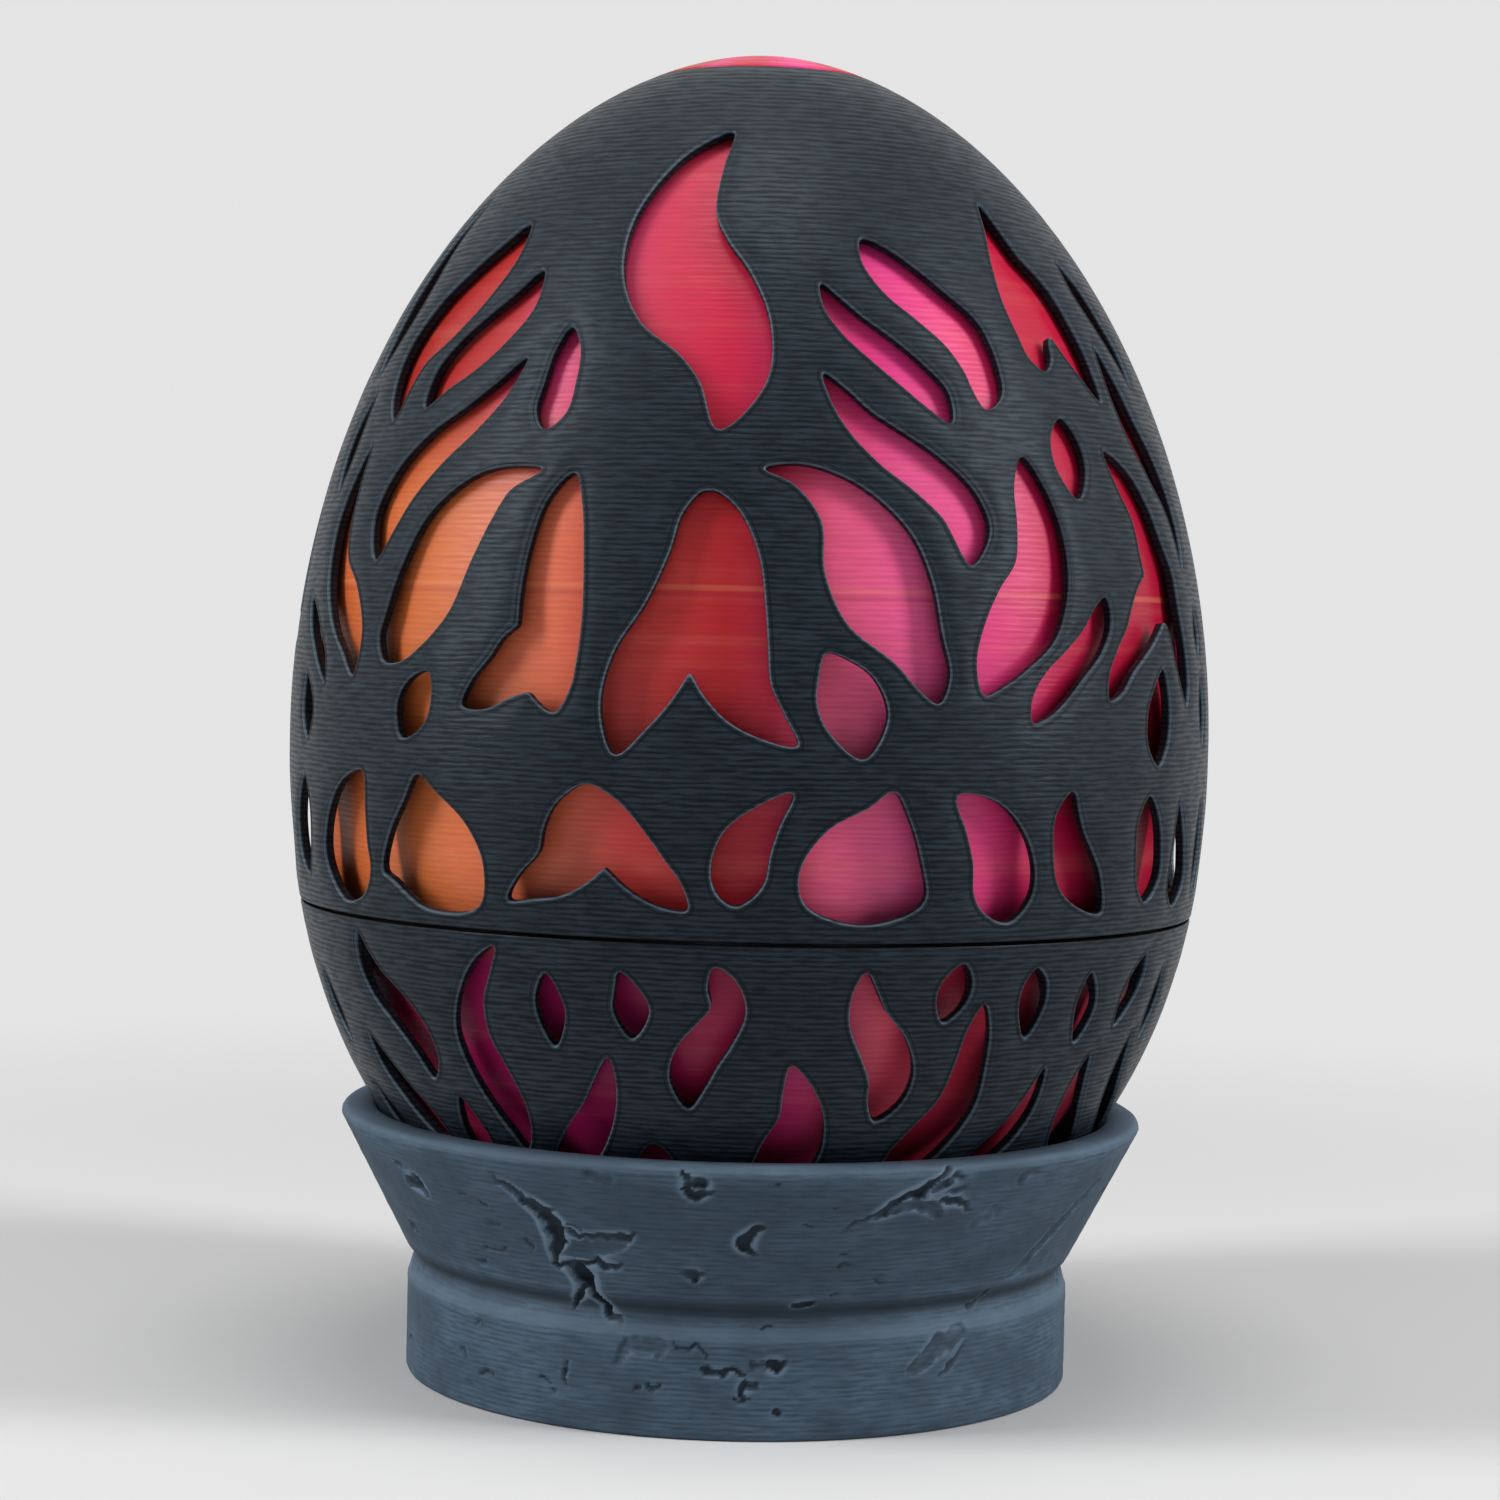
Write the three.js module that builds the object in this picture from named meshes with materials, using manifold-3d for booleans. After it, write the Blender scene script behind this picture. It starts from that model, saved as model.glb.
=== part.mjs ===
// Dragon egg ornament on its stand: two pierced outer shells, a plain inner egg in two
// halves that shows through the flame cut-outs, and a round stand that holds the egg upright.
// Millimetres, +Z up. The origin is the centre of the stand's underside and -Y is the front.

import * as THREE from 'three';
import { mergeVertices } from 'three/addons/utils/BufferGeometryUtils.js';
import Module from 'manifold-3d';

const wasm = await Module();
wasm.setup();

// Driving dimensions of the egg
const EGG_DIAMETER = 100;
const EGG_HEIGHT = 140;
const WAIST_HEIGHT = 66;
const SEAM_HEIGHT = 47.8;
const SHELL_WALL = 1.2;
const CROWN_HOLE_DIAMETER = 23.8;

// Powers of the egg's outline below and above the waist
const LOWER_END = { power: 2.37, root: 1.68 };
const UPPER_END = { power: 1.96, root: 1.86 };

// Lap joint between the two shells
const LIP_HEIGHT = 1.2;
const LIP_WALL = 1.2;

// Inner egg: close under the upper shell down to its shoulder, and further in by a share of
// the drop below the lap joint
const INNER_WALL = 1.8;
const INNER_SHOULDER_HEIGHT = 89;
const INNER_TAPER = 0.02;
const INNER_FOOT_DIAMETER = 26;
const COLLAR_HEIGHT = 5;
const COLLAR_WALL = 1.4;

// Stand
const STAND_HEIGHT = 28.8;
const STAND_FLOOR = 3;
const RIM_DIAMETER = 87.4;
const RIM_EDGE = 0.9;
const CONE_FOOT_DIAMETER = 72.8;
const CONE_FOOT_HEIGHT = 13.8;
const GROOVE_DIAMETER = 71;
const GROOVE_HEIGHT = 12.6;
const BASE_DIAMETER = 72.4;
const BASE_HEIGHT = 10.5;

// Gap between pieces that touch
const FIT = 0.3;

// Height of the egg's lower tip above the stand's underside
const EGG_BASE = STAND_FLOOR + FIT;

// Facets: steps round the axis, degrees between rings and least distance from a ring to an
// edge, how far a flame's edge may stray
const ROUND_STEPS = 32;
const RING_STEP = 15;
const RING_MARGIN = 1;
const FLAME_TOLERANCE = 0.45;
const FLAME_SAMPLES = 120;

// How far a flame's plug reaches past each face of the wall
const CUT_MARGIN = 4;

// Each flame is a brush stroke from tip to tip: azimuth from the front in degrees, height in
// percent of the way from the seam to the egg's own tip, and width in percent of its diameter.
// Strokes that cross are one opening. The flames go right round the egg in two like halves;
// the drops and slivers between them are on the front half.
const UPPER_FLAMES = [
  // Great flame under the crown
  [[-6.7, 87.6, 0], [-11.8, 84.3, 4.4], [-14.8, 78.2, 8], [-13.4, 73, 10.8], [-9.2, 68.2, 12],
    [-4.6, 63.7, 9.6], [-3.2, 58.7, 6.4], [-4.7, 53.6, 0]],
  // Slanting strokes to its right
  [[9.1, 69.9, 0], [10.5, 67.9, 2], [13.2, 65.4, 3], [17, 62.9, 3.6], [21, 60.2, 3.7],
    [24.2, 57.6, 3.2], [25.6, 55.1, 0]],
  [[16.6, 75.2, 0], [18.3, 73.5, 3.4], [21.6, 70.8, 5.2], [26, 68, 5.4], [30.2, 65, 5.6],
    [32, 61.2, 4.5], [32, 58.7, 3.6], [31.2, 56.8, 0]],
  [[8.6, 60, 0], [10.5, 57.8, 2], [13.2, 54.9, 3.2], [17, 52.2, 4.3], [21.5, 49.5, 4.7],
    [25.4, 46.3, 4.8], [26.6, 43.5, 4.4], [26.2, 40, 0]],
  // Slanting strokes to its left
  [[-44.2, 77.1, 0], [-45.9, 73.9, 4.4], [-49.4, 70.1, 6.8], [-54, 66.3, 7.6], [-57.8, 62.4, 6],
    [-58, 58.5, 3.8], [-57, 55, 0]],
  [[-35.8, 71.4, 0], [-37.2, 68, 3.8], [-40.5, 64.9, 5.2], [-44.5, 62.1, 5.4], [-48.2, 59.4, 4],
    [-50, 56.2, 0]],
  [[-33, 61.5, 0], [-36, 58, 2.4], [-40, 54.8, 3.6], [-45, 51.7, 4.6], [-49.7, 47.7, 5.2],
    [-52.1, 43.6, 4.6], [-52.4, 39.3, 0]],
  // Hooked flame at the upper right
  [[45.7, 80.7, 0], [45.3, 76.9, 3], [45, 73.1, 5.6], [44.4, 68.8, 6.4], [43.6, 65, 4.5],
    [43.6, 62.9, 3.4], [43.7, 61.6, 0]],
  [[46, 75.8, 0], [48.5, 70.9, 5.5], [51, 66.6, 5], [53, 62.8, 3.6], [54.9, 58.7, 0]],
  // Large flames round the middle, the forked ones of two strokes
  [[-26.8, 49.2, 0], [-31.5, 48.3, 2.6], [-35, 46.4, 5.4], [-39.3, 42, 8.4], [-42.4, 36, 9.1],
    [-45.7, 31.4, 6.4], [-47.2, 29.8, 4.6], [-48, 28.4, 0]],
  [[-22.4, 48.9, 0], [-23.2, 46, 3.7], [-23.6, 40, 6.1], [-23.6, 33.5, 6.9], [-23.4, 28.5, 6],
    [-22.9, 25.9, 4.4], [-22.3, 23.6, 0]],
  [[-24.5, 33.5, 0], [-26, 29.4, 6.8], [-29.5, 27.1, 4.7], [-32.5, 25.1, 3.2], [-34.6, 24, 0]],
  [[-5.8, 47.2, 0], [-5.8, 44.9, 4.2], [-5.8, 40, 6.6], [-8.5, 33.8, 6.8], [-11.8, 28.1, 7.4],
    [-14.1, 23.2, 5], [-15, 19.4, 0]],
  [[-5.4, 47.2, 0], [-4.8, 44.9, 4.6], [-3.4, 40, 6.8], [-2.8, 34.6, 7.4], [-2.5, 29.8, 7.8],
    [-0.4, 25.4, 5.6], [2.8, 22.6, 3], [5.4, 20.8, 0]],
  [[1, 49.6, 0], [5.3, 49.1, 2.3], [10.4, 46.1, 5.4], [13.4, 41.2, 9.6], [15.9, 36, 9.8],
    [19.2, 31.1, 5.7], [21, 27.6, 3.6], [21.5, 25.4, 0]],
  [[35.7, 52, 0], [35.9, 49.1, 3.7], [36.7, 44.4, 5.8], [36.4, 39.5, 7], [33.8, 35.1, 8.2],
    [30.3, 31.3, 6.4], [28.3, 28.6, 4], [27.2, 26.4, 0]],
  [[51.6, 53.2, 0], [55, 50.1, 3.7], [57.8, 46.6, 4.8], [59.2, 42.3, 6.4], [60.9, 38.6, 7.4],
    [63.1, 34.8, 4.5], [64.4, 30.9, 3.8], [65.4, 27.3, 2.4], [65.6, 25.2, 0]],
  [[60.5, 39.5, 0], [58, 37.3, 5.4], [55, 34.9, 5.6], [51.9, 32, 4.1], [49.7, 30.2, 3.5],
    [47.5, 27.6, 2.7], [46.2, 25.9, 0]],
  // Broad flames above the seam
  [[-51.2, 16.2, 0], [-53.4, 13.6, 5.4], [-55.3, 10, 8.6], [-56, 6.2, 10], [-56.2, 3.5, 7.4],
    [-56.8, 1.6, 0]],
  [[-41.3, 16.4, 0], [-40.8, 14, 4.8], [-40, 10.5, 11], [-39.6, 6.4, 14.2], [-39.2, 3.7, 12],
    [-40.4, 1.9, 0]],
  [[-18.2, 16.2, 0], [-19.3, 13.6, 4.6], [-19.6, 9.8, 7.2], [-22.2, 6.8, 5], [-26, 5, 2.6],
    [-28.3, 3.6, 0]],
  [[-18.2, 16.2, 0], [-17, 13.2, 5], [-14.2, 10, 5.4], [-11, 6.8, 4.6], [-8.3, 4.8, 3],
    [-6.5, 3.4, 0]],
  [[16.4, 16.2, 0], [16, 13.8, 4.4], [14.5, 10.3, 10.2], [13.4, 6.4, 13], [13.2, 3.9, 11],
    [13.2, 2.1, 0]],
  [[24, 15.8, 0], [27.4, 13.4, 4.6], [29.9, 10.1, 6.6], [31, 6.4, 7.4], [31.6, 4, 5.6], [32, 2.2, 0]],
  // Flames at the side
  [[84, 66.1, 0], [85.5, 61.7, 3], [89, 57.4, 4.2], [93, 53.6, 3.8], [96.5, 50.9, 0]],
  [[93, 73.6, 0], [94.5, 69.8, 3.2], [97.5, 65, 4], [99.5, 59.5, 0]],
  [[83, 54.1, 0], [84, 48.7, 4], [87, 42.2, 7], [90.5, 35.7, 7.4], [92.5, 29.2, 4.6], [92.8, 24.8, 0]],
  [[97, 48.7, 0], [98.8, 43.3, 4], [99.5, 36.8, 5], [98.2, 30.3, 3.6], [97, 25.9, 0]],
  [[85.5, 16.2, 0], [84.5, 12.9, 5], [84, 8, 8], [84.3, 4.6, 6.4], [84.5, 2.3, 0]],
  [[97, 16.2, 0], [97.5, 12.4, 5], [97.5, 7.5, 8], [97.3, 4.6, 6], [97, 2.3, 0]],
];

const UPPER_DROPS = [
  // Between the large flames
  [[-27.2, 64.8, 0], [-26.9, 62.3, 2.8], [-26.9, 58.6, 3.6], [-27.3, 55.4, 3.5], [-27.7, 53.5, 0]],
  [[8.4, 30.5, 0], [9.3, 29, 3.3], [10.7, 26.5, 6.2], [12.2, 23.1, 6], [12.8, 19.5, 0]],
  [[46.9, 37.1, 0], [45.9, 35.1, 2.8], [43.8, 32.4, 3.4], [40.5, 29.8, 3.5], [37.3, 27.3, 3.8],
    [35, 25.1, 2.8], [33.8, 23.5, 0]],
  [[44.3, 56.5, 0], [44, 54.1, 4.2], [44, 50.9, 4.6], [44.2, 47.6, 0]],
  [[58.6, 29.4, 0], [58, 27.2, 3.2], [57, 23.8, 5.2], [56.7, 20.8, 4.2], [57, 18.6, 0]],
  [[-39.9, 27.4, 0], [-41, 25.8, 3.6], [-42.6, 22.9, 4.6], [-43.9, 20.2, 0]],
  // Right flank
  [[62, 74.9, 0], [63.3, 72, 3.2], [65.5, 68, 3.2], [67.7, 64.4, 2.6], [68.3, 61.2, 0]],
  [[59.5, 65.2, 0], [60.3, 61.2, 2.8], [61.8, 56.6, 4], [65.3, 52, 4.2], [68.7, 47.1, 3],
    [69.5, 43.3, 2], [69.3, 40.7, 0]],
  [[72.5, 36.2, 0], [72.4, 33.5, 2.4], [72.6, 30.8, 0]],
  [[73.2, 28.6, 0], [73.2, 24.8, 3], [73.3, 20.5, 0]],
  // Left flank
  [[-61.4, 52.2, 0], [-62.7, 48.2, 2.4], [-63.5, 43.3, 4.2], [-62.3, 38.4, 5], [-58.5, 34.2, 6.2],
    [-55.3, 30.3, 4.4], [-54.3, 26.6, 0]],
  [[-71.2, 35.2, 0], [-69, 33.1, 2.4], [-65.8, 30.3, 2.6], [-63.3, 27.9, 2.2], [-61.9, 25.7, 0]],
  [[-69.3, 26.6, 0], [-68.3, 24.5, 3], [-67.5, 22.1, 4], [-67.5, 19.2, 0]],
  [[-67.3, 58.5, 0], [-68.7, 54.7, 2.8], [-69.3, 50.9, 3], [-69.5, 47.1, 0]],
  [[-67.5, 81, 0], [-69.3, 75.8, 3.2], [-69, 69.8, 5], [-69.3, 65, 3.6], [-70.3, 60.8, 0]],
  // Above the seam
  [[5, 15.9, 0], [2.2, 13.3, 3], [0, 10.5, 5], [-0.9, 7.3, 5.4], [-1.2, 5.1, 3.6], [-1.2, 3.9, 0]],
  [[40.3, 16.2, 0], [39.6, 13.8, 3.2], [39.9, 11.1, 4.4], [41.5, 7.7, 5.6], [44.1, 5.3, 4.4],
    [46.9, 2.8, 0]],
  [[55.2, 15.4, 0], [55.2, 12.9, 4.4], [56, 9.1, 5.6], [56.5, 5.9, 5], [56.4, 3.5, 0]],
  [[63.9, 14.4, 0], [64.4, 11.3, 2.8], [65, 8, 4.6], [65.4, 4.8, 5.2], [65.5, 2.5, 0]],
  [[-68.5, 15.1, 0], [-69, 12.4, 4.6], [-69.8, 8.9, 6], [-69.5, 5.6, 4.2], [-68.5, 3.8, 0]],
  [[73.8, 14, 0], [73.8, 10.7, 2.6], [74, 6.9, 3], [74, 3.7, 0]],
];

const LOWER_FLAMES = [
  // Under the seam, from left to right
  [[-55.2, 3.1, 0], [-54.8, 8.2, 2.8], [-53, 13.8, 4], [-49.3, 19.2, 4.6], [-46.5, 24.9, 4.4],
    [-45.8, 29.5, 3.2], [-46.2, 33.9, 0]],
  [[-30.6, 2.9, 0], [-32.6, 6.9, 2], [-35, 13.8, 3], [-36.1, 22.2, 4.4], [-34.8, 30.5, 5],
    [-33.2, 37.9, 4.4], [-32.6, 43.5, 2.6], [-32.8, 47.7, 0]],
  [[-3.4, 5, 0], [-2.6, 8.4, 2.8], [-1.7, 13.8, 3.4], [-3.3, 19, 4], [-5.6, 24.3, 4.4],
    [-6.8, 29.9, 3.6], [-6.9, 35.4, 0]],
  [[14.4, 5.6, 0], [14.4, 9.6, 2.4], [15.1, 15.3, 3.8], [17.8, 22.2, 4.8], [19.4, 28.5, 4.6],
    [19, 33.7, 3.6], [18.2, 37.9, 0]],
  [[80, 8.6, 0], [81.5, 15.9, 3.6], [84.5, 23.2, 4.6], [86, 31.6, 3.4], [85.5, 37.9, 0]],
  [[100, 10.7, 0], [99, 19, 3.4], [98, 28.5, 4], [98.5, 36.8, 0]],
  // Running down behind the stand's rim
  [[-16.9, 24.9, 0], [-17.6, 30.3, 2.2], [-19.3, 37.2, 3.4], [-22.3, 43.9, 4.2], [-26, 50.4, 3.4],
    [-29.5, 55, 0]],
  [[6.2, 25.3, 0], [7.2, 30.5, 2.8], [8.1, 36.8, 4.4], [7.2, 44.1, 6], [5, 51.5, 4.8], [3.2, 56.7, 0]],
  [[30.4, 12.8, 0], [30.3, 18, 2.6], [30.3, 26.4, 3.8], [29.9, 34.7, 4.8], [27.2, 42.1, 5.4],
    [24, 48.3, 4.4], [21, 53.6, 0]],
  [[52.5, 25.9, 0], [52.3, 31.6, 2.4], [53.2, 38.7, 4], [55.8, 45.2, 4.4], [59.5, 50.4, 3.2],
    [63.5, 54.6, 0]],
];

const LOWER_DROPS = [
  // Under the seam, from left to right
  [[-71, 14.2, 0], [-70.5, 19, 2.6], [-69.3, 24.3, 2.8], [-68.3, 29.5, 0]],
  [[-24, 7.8, 0], [-24, 11.6, 2.5], [-23.8, 16.9, 3.1], [-23.8, 23.4, 0]],
  [[-14.7, 6.6, 0], [-14, 10, 2.3], [-13.4, 14.9, 3.7], [-13.5, 20.7, 0]],
  [[26.7, 4.1, 0], [26.4, 7.3, 3.1], [25.6, 11.7, 3.5], [24.9, 16.5, 0]],
  [[37.4, 5.6, 0], [37.6, 8.7, 3], [37.8, 13.9, 3.5], [37.9, 20.8, 0]],
  [[47.2, 7.4, 0], [47.5, 11.2, 2.6], [47.8, 16.1, 3.3], [47.6, 23, 0]],
  [[60, 4.6, 0], [59, 8.8, 2.8], [57.4, 14.1, 3], [56, 20.3, 0]],
  [[67.4, 9, 0], [67.5, 14.2, 2.4], [67.2, 20.1, 2.2], [66.9, 24.9, 0]],
  [[93, 4.4, 0], [91.8, 11.7, 3], [92.5, 20.1, 3.6], [93.5, 26.4, 0]],
  // Running down behind the stand's rim
  [[-66.5, 38.3, 0], [-65, 43.1, 2.6], [-62.5, 49.4, 3], [-60, 54.6, 0]],
  [[-59.5, 26.2, 0], [-58, 31.6, 2.6], [-54.7, 38.5, 3.4], [-51, 45.2, 3.4], [-48, 52.5, 0]],
  [[-42, 37, 0], [-41.8, 42.1, 2.8], [-41.6, 48.3, 3.4], [-41.5, 54.6, 0]],
  [[-12, 43.5, 0], [-12, 48.3, 4], [-12, 54.6, 4.4], [-12, 60.9, 0]],
  [[43.4, 27.6, 0], [43.2, 32.8, 1.9], [42.4, 38.7, 3], [40, 44.6, 3.6], [36.5, 49.8, 3],
    [33.5, 53.6, 0]],
  [[63.2, 22.4, 0], [63.2, 28.2, 2.2], [65, 35.4, 3.4], [69, 41.6, 3.6], [74, 47.3, 2.8],
    [78, 51.5, 0]],
  [[92, 35.8, 0], [91, 42.1, 3.4], [90.5, 49.4, 3.8], [91, 56.7, 0]],
];

// Materials
const shellPlastic = new THREE.MeshStandardMaterial({ color: 0x2a333c, roughness: 0.5, metalness: 0 });
const silkPlastic = new THREE.MeshStandardMaterial({ color: 0xd23c50, roughness: 0.35, metalness: 0.1 });
const standPlastic = new THREE.MeshStandardMaterial({ color: 0x4a5d70, roughness: 0.75, metalness: 0 });

// Outline of the egg, in its own frame with the lower tip at height 0. The latitude runs
// from -90 degrees at the lower tip over 0 at the waist to 90 at the top.
function eggOutline(latitude) {
  const sine = Math.sin(THREE.MathUtils.degToRad(latitude));
  const end = sine > 0 ? UPPER_END : LOWER_END;
  const span = sine > 0 ? EGG_HEIGHT - WAIST_HEIGHT : WAIST_HEIGHT;
  const share = Math.max(1 - Math.abs(sine) ** end.power, 0);
  return new THREE.Vector2(EGG_DIAMETER / 2 * share ** (1 / end.root), WAIST_HEIGHT + span * sine);
}

function eggNormal(latitude) {
  const step = 0.05;
  const along = eggOutline(latitude + step).sub(eggOutline(latitude - step)).normalize();
  return new THREE.Vector2(along.y, -along.x);
}

// A point set in from the egg's surface by a depth
function eggPoint(latitude, depth) {
  if (Math.abs(latitude) === 90) {
    return new THREE.Vector2(0, latitude > 0 ? EGG_HEIGHT - depth : depth);
  }
  return eggOutline(latitude).addScaledVector(eggNormal(latitude), -depth);
}

function latitudeAt(height) {
  const span = height > WAIST_HEIGHT ? EGG_HEIGHT - WAIST_HEIGHT : WAIST_HEIGHT;
  return THREE.MathUtils.radToDeg(Math.asin((height - WAIST_HEIGHT) / span));
}

// The latitude at which a test stops holding, between two latitudes
function findLatitude(low, high, holds) {
  let from = low;
  let to = high;
  while (to - from > 1e-6) {
    const middle = (from + to) / 2;
    if (holds(middle)) {
      from = middle;
    } else {
      to = middle;
    }
  }
  return from;
}

// Where the surface at a depth reaches a height, or a radius near the bottom or the crown
function atHeight(height, depthAt) {
  return findLatitude(-90, 90, (latitude) => eggPoint(latitude, depthAt(latitude)).y < height);
}

function atBowlRadius(radius, depthAt) {
  return findLatitude(-90, 0, (latitude) => eggPoint(latitude, depthAt(latitude)).x < radius);
}

function atCrownRadius(radius, depthAt) {
  return findLatitude(0, 90, (latitude) => eggPoint(latitude, depthAt(latitude)).x > radius);
}

// Depths below the egg's surface
const skin = () => 0;
const seatSurface = () => -FIT;
const shellInside = () => SHELL_WALL;
const nearShell = () => SHELL_WALL + FIT;

// Rings that all pieces share, so that gaps stay even: they run through the edge of the inner
// egg's foot, the seam and the waist, with even steps between
const RING_STOPS = [
  atBowlRadius(INNER_FOOT_DIAMETER / 2, nearShell),
  latitudeAt(SEAM_HEIGHT),
  latitudeAt(WAIST_HEIGHT),
  latitudeAt(EGG_HEIGHT),
];
const RINGS = RING_STOPS.slice(1).flatMap((stop, i) => {
  const steps = Math.max(Math.round((stop - RING_STOPS[i]) / RING_STEP), 1);
  return Array.from({ length: steps }, (_, k) => THREE.MathUtils.lerp(RING_STOPS[i], stop, k / steps));
});

// Points between two latitudes of a surface
function surface(from, to, depthAt) {
  const between = RINGS.filter((ring) => ring > from + RING_MARGIN && ring < to - RING_MARGIN);
  return [from, ...between, to].map((latitude) => eggPoint(latitude, depthAt(latitude)));
}

// The lip of the lap joint, and the mouth of the upper shell
const LIP_TOP = SEAM_HEIGHT + FIT / 2 + LIP_HEIGHT;
const LIP_OUTSIDE = eggPoint(atHeight(SEAM_HEIGHT - FIT / 2, skin), 0).x - SHELL_WALL - FIT;
const LIP_INSIDE = LIP_OUTSIDE - LIP_WALL;
const MOUTH_RADIUS = eggPoint(atHeight(SEAM_HEIGHT + FIT / 2, shellInside), SHELL_WALL).x;

// Depths of the inner egg that let its waist pass the mouth, and its seam the lip
const WAIST_DEPTH = Math.max(EGG_DIAMETER / 2 - MOUTH_RADIUS + FIT, nearShell());
const LIP_DEPTH = eggOutline(latitudeAt(LIP_TOP)).x - LIP_INSIDE + FIT;

function innerOutside(latitude) {
  const { y: height } = eggOutline(latitude);
  if (height > WAIST_HEIGHT) {
    const rise = (height - WAIST_HEIGHT) / (INNER_SHOULDER_HEIGHT - WAIST_HEIGHT);
    return THREE.MathUtils.lerp(WAIST_DEPTH, nearShell(), Math.min(rise, 1));
  }
  const fall = (WAIST_HEIGHT - height) / (WAIST_HEIGHT - LIP_TOP);
  const taper = INNER_TAPER * Math.max(LIP_TOP - height, 0);
  return THREE.MathUtils.lerp(WAIST_DEPTH, LIP_DEPTH, Math.min(fall, 1)) + taper;
}

function innerInside(latitude) {
  return innerOutside(latitude) + INNER_WALL;
}

function toSolid(geometry) {
  geometry.deleteAttribute('normal');
  geometry.deleteAttribute('uv');
  const merged = mergeVertices(geometry, 1e-4);
  const corners = merged.index.array;
  const triangles = [];
  for (let i = 0; i < corners.length; i += 3) {
    const [a, b, c] = corners.slice(i, i + 3);
    if (a !== b && b !== c && c !== a) {
      triangles.push(a, b, c);
    }
  }
  return new wasm.Manifold(new wasm.Mesh({
    numProp: 3,
    vertProperties: new Float32Array(merged.attributes.position.array),
    triVerts: new Uint32Array(triangles),
  }));
}

// Turns a closed outline of radii and heights round the Z axis; the outline runs up
// the outside and down the inside
function revolve(outline) {
  const geometry = new THREE.LatheGeometry(outline, ROUND_STEPS);
  geometry.rotateX(Math.PI / 2);
  return toSolid(geometry);
}

function toMesh(name, solid, material) {
  const { vertProperties, triVerts } = solid.getMesh();
  const geometry = new THREE.BufferGeometry();
  geometry.setAttribute('position', new THREE.BufferAttribute(new Float32Array(vertProperties), 3));
  geometry.setIndex(new THREE.BufferAttribute(new Uint32Array(triVerts), 1));
  const mesh = new THREE.Mesh(geometry, material);
  mesh.name = name;
  return mesh;
}

// Millimetres on the surface for one degree of azimuth and for one millimetre of height
function surfaceScale(height) {
  const latitude = latitudeAt(height);
  return new THREE.Vector2(
    THREE.MathUtils.degToRad(eggOutline(latitude).x),
    1 / eggNormal(latitude).x,
  );
}

// Keeps those points of a line that its shape needs
function thinLine(points) {
  const chord = new THREE.Line3(points[0], points.at(-1));
  const foot = new THREE.Vector3();
  const gaps = points.map((point) => chord.closestPointToPoint(point, true, foot).distanceTo(point));
  const worst = gaps.indexOf(Math.max(...gaps));
  if (gaps[worst] < FLAME_TOLERANCE) {
    return [points[0], points.at(-1)];
  }
  return [...thinLine(points.slice(0, worst + 1)), ...thinLine(points.slice(worst)).slice(1)];
}

// The closed edge of a stroke, as azimuths and heights, anticlockwise from outside
function flameEdge(stroke, tipHeight) {
  const spine = stroke.map(([azimuth, share]) => (
    new THREE.Vector2(azimuth, THREE.MathUtils.lerp(SEAM_HEIGHT, tipHeight, share / 100))
  ));
  const rightSide = [];
  const leftSide = [];
  spine.forEach((point, i) => {
    const half = stroke[i][2] / 100 * EGG_DIAMETER / 2;
    const scale = surfaceScale(point.y);
    const before = spine[Math.max(i - 1, 0)];
    const after = spine[Math.min(i + 1, spine.length - 1)];
    const along = after.clone().sub(before).multiply(scale).normalize();
    const across = new THREE.Vector2(-along.y, along.x).multiplyScalar(half).divide(scale);
    leftSide.push(point.clone().sub(across));
    if (half > 0) {
      rightSide.unshift(point.clone().add(across));
    }
  });
  const flat = surfaceScale(spine[spine.length >> 1].y);
  const corners = [...leftSide, ...rightSide].map((p) => new THREE.Vector3(p.x * flat.x, p.y * flat.y, 0));
  const curve = new THREE.CatmullRomCurve3(corners, true, 'centripetal');
  const round = curve.getPoints(FLAME_SAMPLES);
  const reach = round.map((point) => point.distanceTo(round[0]));
  const farTip = reach.indexOf(Math.max(...reach));
  const edge = [
    ...thinLine(round.slice(0, farTip + 1)).slice(1),
    ...thinLine(round.slice(farTip)).slice(1),
  ];
  return edge.map((p) => new THREE.Vector2(p.x / flat.x, p.y / flat.y));
}

// A plug of the stroke's outline whose walls stand square to the egg's surface
function flamePlug(stroke, tipHeight) {
  const edge = flameEdge(stroke, tipHeight);
  const count = edge.length;
  const ringAt = (depth) => edge.flatMap((point) => {
    const { x: radius, y: height } = eggPoint(latitudeAt(point.y), depth);
    const azimuth = THREE.MathUtils.degToRad(point.x);
    return [radius * Math.sin(azimuth), -radius * Math.cos(azimuth), height];
  });
  const faces = [];
  for (const [a, b, c] of THREE.ShapeUtils.triangulateShape(edge, [])) {
    faces.push(a, b, c, count + a, count + c, count + b);
  }
  for (let i = 0; i < count; i += 1) {
    const next = (i + 1) % count;
    faces.push(i, count + i, next, next, count + i, count + next);
  }
  const corners = new Float32Array([...ringAt(-CUT_MARGIN), ...ringAt(SHELL_WALL + CUT_MARGIN)]);
  const geometry = new THREE.BufferGeometry();
  geometry.setAttribute('position', new THREE.BufferAttribute(corners, 3));
  geometry.setIndex(faces);
  return toSolid(geometry);
}

// Cuts the flames, each with its copy half a turn further round, and the drops
function pierce(shell, flames, drops, tipHeight) {
  const plugs = flames.map((stroke) => flamePlug(stroke, tipHeight));
  const copies = plugs.map((plug) => plug.rotate([0, 0, 180]));
  const cuts = [...plugs, ...copies, ...drops.map((stroke) => flamePlug(stroke, tipHeight))];
  return cuts.reduce((pierced, plug) => pierced.subtract(plug), shell);
}

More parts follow.
